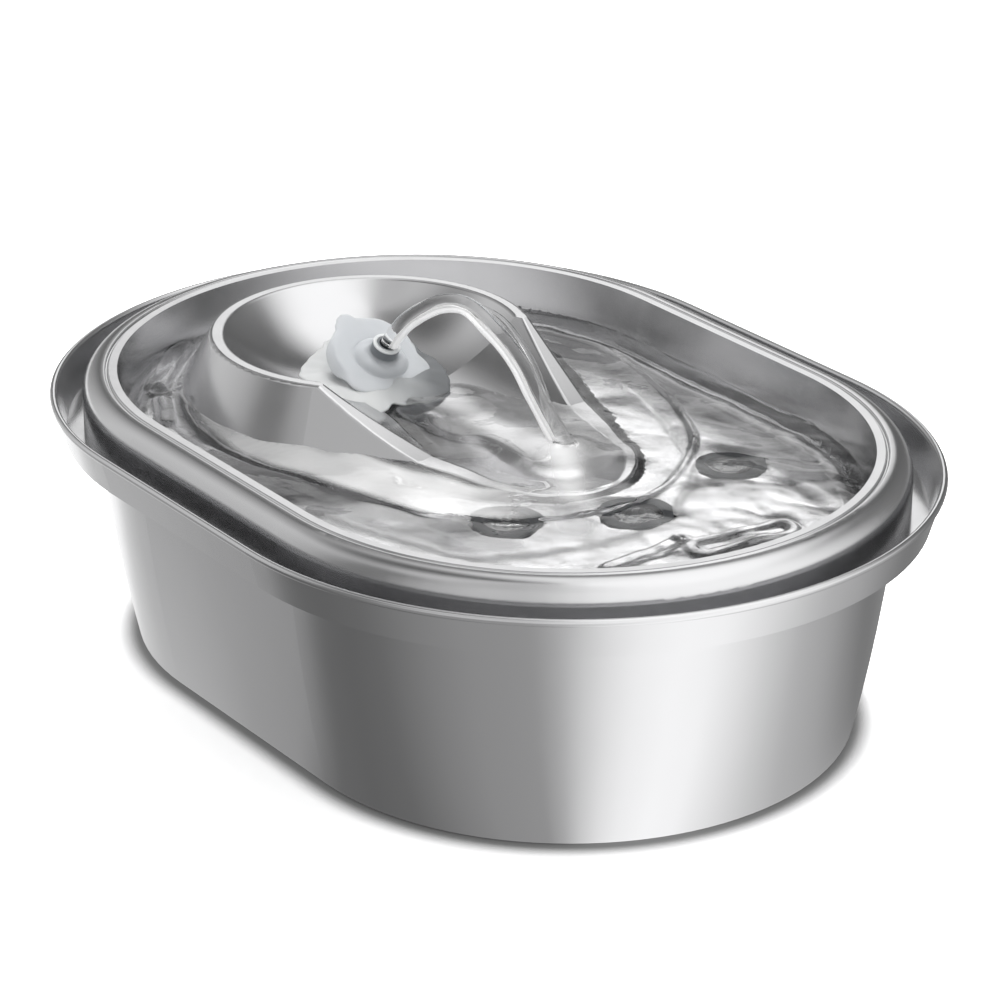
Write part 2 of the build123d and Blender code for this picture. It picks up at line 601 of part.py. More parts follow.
def make_back_plate():
    plate = rounded_block(
        HOUSING_BACK - BACK_PLATE, HOUSING_BACK, PUMP_HALF_WIDTH, CASE_FLOOR, PUMP_TOP, PUMP_EDGE
    )
    for x, y, z in screw_places():
        plate -= rod_x(SCREW_RADIUS, x, x + BACK_PLATE, y, z)
    return plate


def make_screws():
    screws = []
    for x, y, z in screw_places():
        shank = rod_x(SCREW_RADIUS, x, x + SCREW_LENGTH, y, z)
        screws.append(shank + rod_x(SCREW_HEAD_RADIUS, x - SCREW_HEAD, x, y, z))
    return Compound(children=screws)


def make_core():
    high = CORE_LOW + CORE_THICKNESS
    core = block(BRIDGE_BACK, BRIDGE_FRONT, -ARM_OUTER, ARM_OUTER, CORE_LOW, high)
    arm_end = ARM_START + CORE_ARM_LENGTH - LOOSE
    for y in (ARM_INNER, -ARM_OUTER):
        core += block(BRIDGE_BACK, arm_end, y, y + CORE_ARM, CORE_LOW, high)
    return core


def winding(inner, outer):
    """A rectangular sleeve along Y round the core's bridge, between two offsets from the core."""
    whole, hole = (
        block(
            BRIDGE_BACK - offset,
            BRIDGE_FRONT + offset,
            -COIL_HALF_LENGTH,
            COIL_HALF_LENGTH,
            CORE_LOW - offset,
            CORE_LOW + CORE_THICKNESS + offset,
        )
        for offset in (outer, inner)
    )
    return whole - hole


def make_bobbin():
    return winding(0, BOBBIN_WALL)


def make_coil():
    return winding(BOBBIN_WALL, COIL_RADIAL)


def make_volute():
    front = VOLUTE_FRONT
    body = rounded_block(
        HOUSING_FRONT, front, PUMP_HALF_WIDTH, CASE_FLOOR, PUMP_TOP, PUMP_EDGE
    )
    spigot = Pos(0, 0, PUMP_TOP) * Cylinder(TUBE_BORE - RUNNING, OUTLET_SPIGOT_LENGTH, align=BASE_UP)
    body += BOWL * spigot
    body += rod_x(DIAL_BOSS, front, front + DIAL_THICKNESS + LOOSE)
    body -= rod_x(CHAMBER_RADIUS, HOUSING_FRONT, CHAMBER_FRONT)
    body -= rod_x(BUSH_RADIUS, CHAMBER_FRONT, SHAFT_END)
    outlet = Cylinder(OUTLET_BORE, PUMP_HEIGHT, align=BASE_UP)
    body -= BOWL * Pos(0, 0, AXIS_Z) * outlet
    for y, z in polar(PORT_CIRCLE, PORT_COUNT):
        body -= rod_x(PORT_RADIUS, CHAMBER_FRONT, front, y, z)
    return body


def make_seal():
    start = HOUSING_FRONT - SEAL_WIDTH
    hole = rod_x(SEAL_RADIUS - SEAL_WIDTH, start, HOUSING_FRONT)
    return rod_x(SEAL_RADIUS, start, HOUSING_FRONT) - hole


def make_shaft():
    return rod_x(SHAFT_RADIUS, SHAFT_START, SHAFT_END)


def make_bushes():
    spans = ((SHAFT_START, WELL_END), (CHAMBER_FRONT, SHAFT_END))
    bushes = [rod_x(BUSH_RADIUS, *span) - rod_x(SHAFT_RADIUS, *span) for span in spans]
    return Compound(children=bushes)


def make_magnet():
    hole = rod_x(MAGNET_BORE, MAGNET_START, MAGNET_END)
    return rod_x(MAGNET_RADIUS, MAGNET_START, MAGNET_END) - hole


def make_impeller():
    body = rod_x(MAGNET_BORE, MAGNET_START, BLADES_END)
    body += rod_x(MAGNET_RADIUS, MAGNET_END, BLADES_START)
    body += rod_x(IMPELLER_RADIUS, BLADES_START, BLADES_START + IMPELLER_DISC)
    half = BLADE_THICKNESS / 2
    blade = block(BLADES_START, BLADES_END, MAGNET_BORE / 2, IMPELLER_RADIUS, -half, half)
    for n in range(BLADE_COUNT):
        body += Pos(0, 0, AXIS_Z) * Rot(360 * n / BLADE_COUNT, 0, 0) * blade
    return body - rod_x(SHAFT_RADIUS + RUNNING, MAGNET_START, BLADES_END)


def make_gland():
    place = Pos(HOUSING_FRONT - GLAND_BACK, 0, PUMP_TOP)
    collar = ring(GLAND_BASE_RADIUS, GLAND_BORE, 0, GLAND_COLLAR)
    return place * (collar + ring(GLAND_RADIUS, GLAND_BORE, -GLAND_FOOT, GLAND_LENGTH))


# ---------------------------------------------------------------- intake
def make_dial():
    start = VOLUTE_FRONT + RUNNING
    end = start + DIAL_THICKNESS
    body = rod_x(DIAL_RADIUS, start, end)
    half = DIAL_LEVER_WIDTH / 2
    body += block(start, end, -half, half, AXIS_Z, AXIS_Z + DIAL_RADIUS + DIAL_LEVER)
    body -= rod_x(DIAL_BOSS + RUNNING, start, end)
    for y, z in polar(PORT_CIRCLE, PORT_COUNT):
        body -= rod_x(PORT_RADIUS, start, end, y, z)
    return body


def make_cover():
    back = VOLUTE_FRONT - COVER_LAP
    front = VOLUTE_FRONT + COVER_DEPTH
    outer = PUMP_HALF_WIDTH + COVER_WALL + LOOSE
    top = PUMP_TOP + COVER_WALL + LOOSE
    inner = PUMP_HALF_WIDTH + LOOSE
    body = block(back, front, -outer, outer, CASE_FLOOR + LOOSE, top)
    body -= block(back, front - COVER_WALL, -inner, inner, CASE_FLOOR, PUMP_TOP + LOOSE)
    side = inner - COVER_SLOT
    for n in range(COVER_SLOT_COUNT):
        z = AXIS_Z + (n - (COVER_SLOT_COUNT - 1) / 2) * COVER_SLOT_PITCH
        low, high = z - COVER_SLOT / 2, z + COVER_SLOT / 2
        body -= block(front - COVER_WALL, front, -side, side, low, high)
    return body


def make_foam():
    front = VOLUTE_FRONT + COVER_DEPTH - COVER_WALL
    half = PUMP_HALF_WIDTH
    return block(front - FOAM_THICKNESS, front, -half, half, CASE_FLOOR + LOOSE, PUMP_TOP)


# ---------------------------------------------------------------- filter cartridge
def cut_grille(wall, start, end, half_width):
    """Cuts upright slots through a wall of the cartridge."""
    low, high = CARTRIDGE_LOW + GRILLE_SLOT, CARTRIDGE_HIGH - GRILLE_SLOT
    for n in range(GRILLE_COUNT):
        y = (n - (GRILLE_COUNT - 1) / 2) * GRILLE_PITCH
        left, right = y - GRILLE_SLOT / 2, y + GRILLE_SLOT / 2
        if max(-left, right) < half_width:
            wall -= block(start, end, left, right, low, high)
    return wall


def make_frame():
    flange = CASE_FRONT_X + CARTRIDGE_FLANGE
    half = CARTRIDGE_HALF_WIDTH
    edge = half + CARTRIDGE_FLANGE_EDGE
    low, high = CARTRIDGE_LOW, CARTRIDGE_HIGH
    body = block(CARTRIDGE_BACK, CASE_FRONT_X, -half, half, low, high)
    body += block(CASE_FRONT_X, flange, -edge, edge, low, high + CARTRIDGE_FLANGE_EDGE)
    inner = half - CARTRIDGE_WALL
    bottom, top = low + CARTRIDGE_WALL, high - CARTRIDGE_WALL
    body -= block(CARTRIDGE_BACK, CASE_FRONT_X, -inner, inner, bottom, top)
    body = cut_grille(body, CASE_FRONT_X, flange, inner)
    pull = Box(PULL_LENGTH, 2 * PULL_HALF_WIDTH, PULL_HEIGHT, align=(Align.MIN, Align.CENTER, Align.CENTER))
    return body + Pos(flange, 0, high + CARTRIDGE_FLANGE_EDGE / 2) * pull


def filter_layer(start, end):
    """A flat slab that fills the cartridge's frame between two places along X."""
    half = CARTRIDGE_HALF_WIDTH - CARTRIDGE_WALL
    return block(start, end, -half, half, CARTRIDGE_LOW + CARTRIDGE_WALL, CARTRIDGE_HIGH - CARTRIDGE_WALL)


def make_layers():
    """The rear grille and the three filter layers, from the back to the front."""
    grille_front = CARTRIDGE_BACK + CARTRIDGE_WALL
    resin_front = grille_front + RESIN
    cotton_back = CASE_FRONT_X - COTTON
    half = CARTRIDGE_HALF_WIDTH - CARTRIDGE_WALL
    grille = filter_layer(CARTRIDGE_BACK, grille_front)
    grille = cut_grille(grille, CARTRIDGE_BACK, grille_front, half)
    resin = filter_layer(grille_front, resin_front)
    carbon = filter_layer(resin_front, cotton_back)
    return grille, filter_layer(cotton_back, CASE_FRONT_X), carbon, resin


# ---------------------------------------------------------------- build
os.makedirs("parts", exist_ok=True)
grille, cotton, carbon, resin = make_layers()
write("basin", make_basin())
write("tray", make_tray())
write("drain_strainers", make_strainers())
write("spout_grommet", make_grommet())
write("spout_sleeve", make_sleeve())
write("flower_nozzle", make_flower())
write("jet_tip", make_jet_tip())
write("riser_tube", make_riser_tube())
write("filter_case", make_case())
write("case_lid", make_lid())
write("suction_cups", make_cups())
write("pump_housing", make_housing())
write("pump_back_plate", make_back_plate())
write("pump_screws", make_screws())
write("stator_core", make_core())
write("coil_bobbin", make_bobbin())
write("stator_coil", make_coil())
write("volute_cover", make_volute())
write("chamber_seal", make_seal())
write("impeller_shaft", make_shaft())
write("shaft_bushes", make_bushes())
write("rotor_magnet", make_magnet())
write("impeller", make_impeller())
write("cable_gland", make_gland())
write("flow_dial", make_dial())
write("intake_cover", make_cover())
write("pre_filter_foam", make_foam())
write("cartridge_frame", make_frame())
write("cartridge_grille", grille)
write("filter_cotton", cotton)
write("carbon_bed", carbon)
write("resin_bed", resin)
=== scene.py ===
"""Pet water fountain: satin steel basin and tray, silicone flower spout, and its running water."""

from math import atan2, cos, degrees, exp, hypot, pi, radians, sin, tanh

import bmesh
import bpy
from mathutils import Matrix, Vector, noise
from mathutils.bvhtree import BVHTree


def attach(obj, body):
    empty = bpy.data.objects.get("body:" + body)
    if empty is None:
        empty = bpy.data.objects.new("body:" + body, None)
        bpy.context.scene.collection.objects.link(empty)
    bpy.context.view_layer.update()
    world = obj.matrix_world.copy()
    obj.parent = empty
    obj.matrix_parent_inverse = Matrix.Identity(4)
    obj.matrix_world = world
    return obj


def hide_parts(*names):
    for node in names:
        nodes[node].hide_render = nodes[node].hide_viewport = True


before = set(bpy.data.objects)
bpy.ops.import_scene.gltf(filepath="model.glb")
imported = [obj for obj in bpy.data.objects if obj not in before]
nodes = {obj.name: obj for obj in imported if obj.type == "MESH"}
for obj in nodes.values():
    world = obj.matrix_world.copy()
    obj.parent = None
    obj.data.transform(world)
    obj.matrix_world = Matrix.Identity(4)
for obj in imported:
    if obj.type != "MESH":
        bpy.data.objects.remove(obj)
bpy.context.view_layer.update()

MM = 0.001

# ---------------------------------------------------------------- sizes, in millimetres
# Plan that basin and tray share
HALF_STRAIGHT = 40.2
SPOUT_X = -61.6

# Still water
WATER_LEVEL = 73.0
POOL_RADIUS = 86.73  # of the pan's wall at the water's level
WALL_EDGE = (-1.0, 0.6)  # foot and top of the sheet's edge in that wall, from the still level
SHEET_BITE = 0.35  # how far the water's hidden faces reach into the steel
THINNEST = 0.1
SPOUT_CLEARANCE = 9.2  # of the water round the spout's sleeve
PLUMB_FROM = 200.0  # height that the plumb lines to the bed fall from
HOLE_BELOW = 59.0  # a plumb line that meets nothing above this has found a hole
HOLE_BED = 59.4  # height of the bed over a hole
POOL_HALF = (128, 88)  # of the flat grid that the sheet starts as
POOL_MESH = 1.5
CREST_BAND = 4.0  # either side of the crest, where the mesh is finer
SPLASH_BAND = 16.0  # round the splash, where it is finer too
SHORE_HALVINGS = 12  # of the way to the shore, to find where the water ends

# Wave front that the falling jet keeps standing round the island
CREST = (
    (-99, -44), (-84.5, -54.7), (-74.8, -59.5), (-56, -66), (-31.7, -67), (-10, -61.5), (8, -56),
    (26, -50), (39.6, -44), (51.5, -33), (59, -18), (62.8, -2), (61, 16), (51.5, 33.7),
    (38.7, 48.2), (21.2, 59), (3, 66), (-12, 70.5), (-25.9, 73.4), (-40, 77),
)
CREST_RISE = 0.9
CREST_SPREAD = 0.85
CREST_ENDS = (1 / 4, 1 / 6)  # shares of its length over which it rises and dies away

# Painted reflection: the sheet of water between the front and the island, and the jet's plume, are painted
# white where they look bright:
# share of the front's length, share of the light that the painted white stops
SHEET_PAINTED_WHITE = (
    (0.0, 0.0), (0.06, 0.22), (0.16, 0.24), (0.24, 0.5), (0.42, 0.66), (0.5, 0.25), (0.56, 0.0),
    (1.0, 0.0),
)
WHITE_IN, WHITE_OUT = (1.0, 5.0), (22.0, 27.0)  # distances from the front where they begin and end
PLUME = ((21, 13), (49, -4))
PLUME_SPREAD = 5.5
PLUME_WHITE = 0.5
WHITE_PATCHES = (14.0, 11.3)  # size of the denser patches, slice of the noise
WHITE_MEAN, WHITE_SWING = 0.9, 0.3

# Waves: lengths along X and Y, slice of the noise, height outside the front and inside it
SLOW_WAVES = (24, 17, 3.1, 1.3, 0.45)
ROLLING_WAVES = (15, 10, 5.2, 0.0, 0.7)
QUICK_WAVES = (10, 7, 7.7, 0.35, 0.14)
# The water outside the front is calmer at the left end
CALM_HEIGHT = 0.35  # of the waves there, as a share of their full height
CALM_FROM, CALM_SPREAD = -55, 8
# It is choppier at the far right, and above the strainers, where it is drawn down
CORNER_FROM, CORNER_SPREAD = (78, 34), (5, 7)
CORNER_CHOP = 1.2
DRAINS = ((43.0, -24.0), (60.0, 10.0), (48.0, 55.0))
DRAIN_REACH = 17.0
DRAIN_CHOP = 1.6

# Standing folds of the running water, each along a straight line:
# ends, distance of the fold from its line, spread, rise, steepness
FOLDS = (
    ((100.2, 3.5), (101.6, 29.2), 4.0, 1.9, 1.1, 6),
    ((92.8, -2.0), (96.3, -27.0), 0.0, 2.6, 1.2, 6),
    ((92.2, 1.2), (92.4, 1.4), 1.9, 0.9, 1.2, 2),
    ((-119.5, -34.0), (-93.5, -58.5), 0.0, 3.6, 1.6, 6),
    ((-88.6, -60.6), (-88.4, -60.9), 2.7, 0.9, 1.2, 2),
    ((-83.0, -63.0), (-68.0, -71.0), 0.0, 2.8, 0.9, 4),
)
FOLD_BAND = 9.0  # either side of a fold's line, where the mesh is finer

# Edge of the swell that the flower's overflow makes in the chute
SWELL = (
    (-40, -3), (-34.5, -5), (-20, -8), (-6, -8), (1.1, -3.2), (16.9, -3.6), (30.8, -7.5), (42.6, -6.1),
    (52, -4),
)
SWELL_RISE = 1.5
SWELL_SPREAD = 3.2
SWELL_ENDS = (1 / 6, 1 / 5)  # shares of its length over which it rises and dies away
SWELL_STEP = 0.7  # share of the rise that is the step at its edge
SWELL_LIP = (0.5, 2.5, 2.4)  # its rounded lip: share of the rise, distance past the edge, spread
CHUTE_FLOOR, CHUTE_FADE = 15.0, 2.5  # half width that it fills, and how gently it ends there

# Where the jet falls in: a mound, and rings round it
SPLASH = (18.6, 15.7)
MOUND_RISE, MOUND_SPREAD = 1.2, 5.5
RING_RISE, RING_FROM, RING_LENGTH, RING_REACH = 0.25, 6.0, 12.0, 14.0
# Slopes of the churned water: place, reach, direction that they rise in, height
SLOPES = (
    (38.7, 16.4, 14, -54, 2.4), (22, -5, 12, -54, 2.0), (-28, -3, 15, -54, 2.6), (-6, 12, 12, 126, 1.6),
)

# Flower: its disc stands tilted on the sleeve's socket, with a collar round the jet's tip
CHUTE_TURN = radians(7.5)
DISC_TILT = radians(27)
DISC_CENTRE = (-57.74, 0.51, 79.8)
DISC_OUT = (sin(DISC_TILT) * cos(CHUTE_TURN), sin(DISC_TILT) * sin(CHUTE_TURN), cos(DISC_TILT))
# Its colours by height over the disc: painted shade darkens the collar, up to a painted highlight on its
# pale lip
COLLAR_PAINTED_SHADING = ((3.4, "C6C9CC"), (4.4, "84888C"), (6.9, "7C8084"), (7.2, "E6E9EA"), (7.6, "E6E9EA"))
FLOWER_PROFILE = (  # radius and height above the disc's middle plane
    (3.3, 0.5), (3.3, 7.2), (3.5, 7.5), (4.2, 7.5), (4.4, 7.25), (4.4, 4.5), (4.7, 3.9), (5.3, 3.6),
    (6.4, 3.3), (7.4, 2.7), (8.1, 1.9), (8.5, 1.3), (8.9, 1.05), (9.6, 1.15), (11.0, 1.2), (13.0, 1.1),
    (15.2, 0.95), (16.4, 0.7), (17.0, 0.2), (16.8, -0.2), (16.2, -0.45), (13.0, -0.6), (9.0, -1.1),
    (6.6, -2.0), (3.3, -2.0),
)
FLOWER_STEPS = (100, 240)  # of its mesh, round its section and round its axis
DOME_FLUTES = (6, 0.6, 0.16)  # how many, phase, height
DOME_FROM = (5.0, 0.9)  # radius and height past which the dome is fluted
LOBE_FROM = 9.0  # radius where the petals leave the dome
LOBE_TO = 17.0
# Petal edge: angle from down the chute, radius, lift above the disc
PETAL_EDGE = (
    (-180, 20.8, 0.9), (-174, 20.2, 0.6), (-168, 18.8, 0.5), (-158, 16.9, 0.4), (-148, 16.6, 0.5),
    (-134, 17.0, 0.6), (-110, 16.6, 0.2), (-84, 16.5, 0.0), (-64, 17.7, 0.1), (-44, 17.2, 0.2),
    (-28, 16.2, 0.3), (-14, 15.9, 0.2), (4, 16.2, 0.1), (20, 17.2, -0.2), (32, 18.5, -0.5),
    (41, 19.2, -0.7), (50, 17.8, -0.4), (60, 16.1, 0.0), (80, 13.6, 0.5), (96, 14.8, 0.5),
    (112, 16.3, 0.5), (128, 17.6, 0.5), (144, 18.6, 0.4), (158, 18.4, 0.5), (168, 18.2, 0.7),
    (175, 20.4, 0.9),
)
PETAL_BEND = 1.7  # power of the share of its width, by which a petal lifts
PETAL_CREASES = (5, 40, 0.35)  # how many, angle of the first, depth
PETAL_CRUMPLES = (5.0, 1.7, 0.9, 1.15)  # size, slice of the noise, height, share where they end
FACET = (-112, 26, 0.72, 2.4)  # edge folded down: middle angle, half width, where it starts, drop
SOCKET = ((4.55, 72.15), (4.55, 77.1), (3.4, 77.1), (3.4, 79.5), (6.6, 79.5), (6.6, 72.15))
SOCKET_STEPS = 96

# Skirt under the disc: angle about the spout, reach and height of its edge
SKIRT_EDGE = (
    (-180, 22.0, 79.0), (-171, 21.6, 79.0), (-160, 19.2, 78.9), (-145, 19.0, 78.6), (-130, 20.0, 78.2),
    (-112, 22.4, 77.5), (-104, 23.8, 77.0), (-94, 23.4, 76.8), (-80, 24.6, 76.2), (-62, 26.8, 75.3),
    (-48, 28.2, 74.6), (-37, 29.2, 74.0), (-29, 30.4, 73.4), (-25, 28.6, 73.5), (-19, 24.8, 74.0),
    (-10, 26.8, 73.5), (0, 28.4, 73.2), (14, 28.3, 73.2), (26, 27.6, 73.5), (36, 25.6, 74.1),
    (52, 23.2, 75.2), (70, 21.0, 76.2), (91, 19.2, 77.0), (114, 21.8, 77.8), (130, 19.8, 78.2),
    (152, 19.0, 78.6),
)
SKIRT_ROOT = (6.0, 76.6)  # radius and height where it leaves the socket
SKIRT_HALF = 0.45
SKIRT_TAPER = 0.45  # how much thinner its edge is than its root
SKIRT_BEND = 1.5  # power of the share of its width, by which it droops
SKIRT_FLUTES = ((7, 1.1, 0.77), (11, 0.4, 0.55))  # how many, phase, height
SKIRT_STEPS = (24, 200)  # of its mesh, across it and round it
# Direction from its drooping side to the side where it is a thin clear film, and its colours that way,
# darkened by painted shade towards the film
SKIRT_THINS = (0.35, 0.937, 0)
SKIRT_PAINTED_SHADING = ((-5, "E2E4E5"), (7, "CED1D3"), (17, "9EA1A4"))

# Jet: centre line, half width across it and half thickness
JET = (
    ((-54.3, 1.1, 86.6), 2.25, 2.25),
    ((-52.3, 2.2, 90.2), 2.4, 2.3),
    ((-48.4, 3.9, 95.3), 2.5, 2.35),
    ((-43.4, 6.3, 99.7), 2.5, 2.35),
    ((-37.8, 9.6, 103.2), 2.5, 2.35),
    ((-31.6, 12.3, 104.6), 2.55, 2.35),
    ((-24.9, 13.0, 104.3), 2.6, 2.35),
    ((-17.6, 12.8, 102.2), 2.6, 2.35),
    ((-9.4, 13.6, 98.4), 2.65, 2.3),
    ((-2.2, 14.5, 93.0), 2.7, 2.3),
    ((5.0, 14.4, 86.7), 2.8, 2.3),
    ((11.7, 14.9, 80.2), 2.95, 2.4),
    ((16.6, 15.5, 75.6), 3.2, 2.8),
    ((20.4, 15.8, 71.2), 4.2, 3.6),
)
JET_SINKS = 1.0  # depth of its foot under the pool's surface
# Thinner strand that leaves the apex on the jet's right and joins it again lower down
STRAND = (
    ((-23.0, 15.2, 105.0), 0.5, 0.5),
    ((-16.4, 16.4, 103.6), 0.8, 0.7),
    ((-9.2, 17.2, 100.2), 0.9, 0.75),
    ((-2.2, 17.4, 95.2), 0.9, 0.75),
    ((4.4, 16.8, 89.6), 0.85, 0.7),
    ((9.6, 16.2, 84.2), 0.5, 0.5),
)
BULGE_ROUND, BULGE_STEPS = 2, 9  # how fast a stream's thickness varies round it and along it
# A painted highlight: a white band that glows a little lies along the inner side of the jet's arc, as seen
# from this direction
HIGHLIGHT_VIEW = (0.745, -0.535, 0.398)
HIGHLIGHT_OFFSET = 0.86  # from the jet's middle, as a share of its half width
HIGHLIGHT_SIZE = 1.35

# For the tools
MERGE = 0.001  # distance under which two corners are one
WHITE = (1, 1, 1, 1)
MIX_A, MIX_B, MIX_RESULT = 6, 7, 2  # colour sockets of the mix node


# ---------------------------------------------------------------- material tools
def linear(colour):
    """Linear RGBA of an sRGB hex colour."""
    channels = [int(colour[i : i + 2], 16) / 255 for i in (0, 2, 4)]
    return [c / 12.92 if c <= 0.04045 else ((c + 0.055) / 1.055) ** 2.4 for c in channels] + [1]


def add(tree, kind, values=None, links=None, **settings):
    """A node with its settings, its constant inputs and the outputs that feed it."""
    node = tree.nodes.new(kind)
    for name, value in settings.items():
        setattr(node, name, value)
    for socket, value in (values or {}).items():
        node.inputs[socket].default_value = value
    for socket, source in (links or {}).items():
        tree.links.new(source, node.inputs[socket])
    return node


def start(name, colour, **values):
    """A material with one Principled shader, and the place that its patterns are read at."""
    material = bpy.data.materials.new(name)
    material.use_nodes = True
    tree = material.node_tree
    shader = tree.nodes["Principled BSDF"]
    shader.inputs["Base Color"].default_value = linear(colour)
    for socket, value in values.items():
        shader.inputs[socket.replace("_", " ")].default_value = value
    place = add(tree, "ShaderNodeTexCoord").outputs["Object"]
    return material, tree, shader, place


def relief(tree, shader, height, depth, strength=1.0):
    """Bump of a given depth in millimetres."""
    values = {"Strength": strength, "Distance": depth * MM}
    bump = add(tree, "ShaderNodeBump", values, {"Height": height})
    tree.links.new(bump.outputs["Normal"], shader.inputs["Normal"])


def vary(tree, shader, socket, source, low, high):
    """Spreads a pattern's 0 to 1 over a range of one of the shader's values."""
    values = {"To Min": low, "To Max": high}
    spread = add(tree, "ShaderNodeMapRange", values, {"Value": source})
    tree.links.new(spread.outputs["Result"], shader.inputs[socket])


def tint(tree, shader, source, low, high):
    """Fades the base colour between two hex colours."""
    values = {MIX_A: linear(low), MIX_B: linear(high)}
    mix = add(tree, "ShaderNodeMix", values, {0: source}, data_type="RGBA")
    tree.links.new(mix.outputs[MIX_RESULT], shader.inputs["Base Color"])


def set_stops(ramp, stops):
    """Gives a colour ramp its places from 0 to 1 and their hex colours."""
    elements = ramp.color_ramp.elements
    elements.remove(elements[1])
    for spot, colour in stops:
        stop = elements.new(spot) if spot > 0 else elements[0]
        stop.color = linear(colour)


def shade_along(tree, shader, place, painted_shading, direction, origin):
    """Paints shade and highlight into the base colour by distance in millimetres along a direction, and
    gives the share of the way.
    """
    first, last = painted_shading[0][0], painted_shading[-1][0]
    centre = [MM * v for v in origin]
    off = add(tree, "ShaderNodeVectorMath", {1: centre}, {0: place}, operation="SUBTRACT")
    reach = add(tree, "ShaderNodeVectorMath", {1: direction}, {0: off.outputs[0]}, operation="DOT_PRODUCT")
    values = {"From Min": first * MM, "From Max": last * MM}
    share = add(tree, "ShaderNodeMapRange", values, {"Value": reach.outputs["Value"]})
    ramp = add(tree, "ShaderNodeValToRGB", None, {"Fac": share.outputs["Result"]})
    set_stops(ramp, [((distance - first) / (last - first), shade) for distance, shade in painted_shading])
    tree.links.new(ramp.outputs["Color"], shader.inputs["Base Color"])
    return share.outputs["Result"]


def band_scale(spacing):
    """Scale of a wave texture, which has 10 bands in pi units, from the bands' real spacing."""
    return pi / 10 / (spacing * MM)


# ---------------------------------------------------------------- finishes
def drawn_steel(name, colour, roughness, orange_peel):
    """Stainless steel sheet, deep drawn and satin polished: soft reflections, faint drawing waves."""
    material, tree, shader, place = start(name, colour, Metallic=1.0, Roughness=roughness)
    cloud = add(tree, "ShaderNodeTexNoise", {"Scale": 1 / (9 * MM), "Detail": 3.0}, {"Vector": place})
    vary(tree, shader, "Roughness", cloud.outputs["Fac"], roughness - 0.04, roughness + 0.05)
    drawing = add(tree, "ShaderNodeTexNoise", {"Scale": 1 / (14 * MM), "Detail": 1.0}, {"Vector": place})
    relief(tree, shader, drawing.outputs["Fac"], orange_peel)
    return material


def turned_steel(name):
    """Zinc-plated steel screws: brighter and finer than the sheet."""
    material, tree, shader, place = start(name, "C9CACC", Metallic=1.0, Roughness=0.3)
    grain = add(tree, "ShaderNodeTexNoise", {"Scale": 1 / (0.4 * MM)}, {"Vector": place})
    relief(tree, shader, grain.outputs["Fac"], 0.01)
    return material


def laminated_steel(name):
    """Silicon-steel laminations, stamped and stacked: a fine dark line every third of a millimetre."""
    material, tree, shader, place = start(name, "8E9094", Metallic=1.0, Roughness=0.42)
    values = {"Scale": band_scale(0.314)}
    lines = add(tree, "ShaderNodeTexWave", values, {"Vector": place}, bands_direction="Z")
    tint(tree, shader, lines.outputs["Fac"], "5A5C60", "9A9CA0")
    relief(tree, shader, lines.outputs["Fac"], 0.04)
    return material


def moulded(name, colour, roughness, grain=0.6, depth=0.01, **values):
    """Injection-moulded plastic or rubber: an even colour with the mould's fine spark texture."""
    material, tree, shader, place = start(name, colour, Roughness=roughness, **values)
    texture = add(tree, "ShaderNodeTexNoise", {"Scale": 1 / (grain * MM), "Detail": 3.0}, {"Vector": place})
    vary(tree, shader, "Roughness", texture.outputs["Fac"], roughness - 0.05, roughness + 0.07)
    relief(tree, shader, texture.outputs["Fac"], depth)
    return material


def frosted_silicone(name, colour, clarity, painted_shading=None, direction=None, origin=None, thinnest=None):
    """Translucent silicone rubber from a matt mould: milky, light passes through thin lips.

    Its shades, where given, are painted shade and highlight: colours by distance in millimetres
    along a direction; thinnest gives its clarity at the far end of them.
    """
    material, tree, shader, place = start(
        name, colour, Roughness=0.34, IOR=1.41, Subsurface_Weight=0.55, Subsurface_Scale=1.0,
        Subsurface_Radius=(0.004, 0.004, 0.0042), Transmission_Weight=clarity,
    )
    haze = add(tree, "ShaderNodeTexNoise", {"Scale": 1 / (3.5 * MM), "Detail": 2.0}, {"Vector": place})
    vary(tree, shader, "Roughness", haze.outputs["Fac"], 0.26, 0.42)
    skin = add(tree, "ShaderNodeTexNoise", {"Scale": 1 / (0.7 * MM), "Detail": 2.0}, {"Vector": place})
    relief(tree, shader, skin.outputs["Fac"], 0.02)
    if painted_shading:
        share = shade_along(tree, shader, place, painted_shading, direction, origin)
        if thinnest is not None:
            vary(tree, shader, "Transmission Weight", share, clarity, thinnest)
    return material


def open_foam(name):
    """Reticulated polyurethane foam: open cells of about 1 mm, dull and dark."""
    material, tree, shader, place = start(name, "2B2D30", Roughness=0.95)
    cells = add(tree, "ShaderNodeTexVoronoi", {"Scale": 1 / (1.1 * MM)}, {"Vector": place})
    # Painted shade: darkest in the cells' pits
    tint(tree, shader, cells.outputs["Distance"], "08090A", "3C3F43")
    relief(tree, shader, cells.outputs["Distance"], 0.5)
    return material


def needled_cotton(name):
    """Needle-punched polyester wadding: white, with tangled fibres."""
    material, tree, shader, place = start(name, "EDEEEC", Roughness=0.95, Sheen_Weight=0.3)
    values = {"Scale": 1 / (0.9 * MM), "Detail": 5.0, "Distortion": 2.5}
    tangle = add(tree, "ShaderNodeTexNoise", values, {"Vector": place})
    tint(tree, shader, tangle.outputs["Fac"], "D5D7D6", "F8F8F6")
    relief(tree, shader, tangle.outputs["Fac"], 0.35)
    return material


def loose_grains(name, low, high, size, roughness):
    """A bed of grains or beads packed behind a grille, each grain a little different."""
    material, tree, shader, place = start(name, high, Roughness=roughness)
    grains = add(tree, "ShaderNodeTexVoronoi", {"Scale": 1 / (size * MM)}, {"Vector": place})
    tone = add(tree, "ShaderNodeSeparateColor", None, {"Color": grains.outputs["Color"]})
    tint(tree, shader, tone.outputs["Red"], low, high)
    relief(tree, shader, grains.outputs["Distance"], -0.4 * size)
    return material


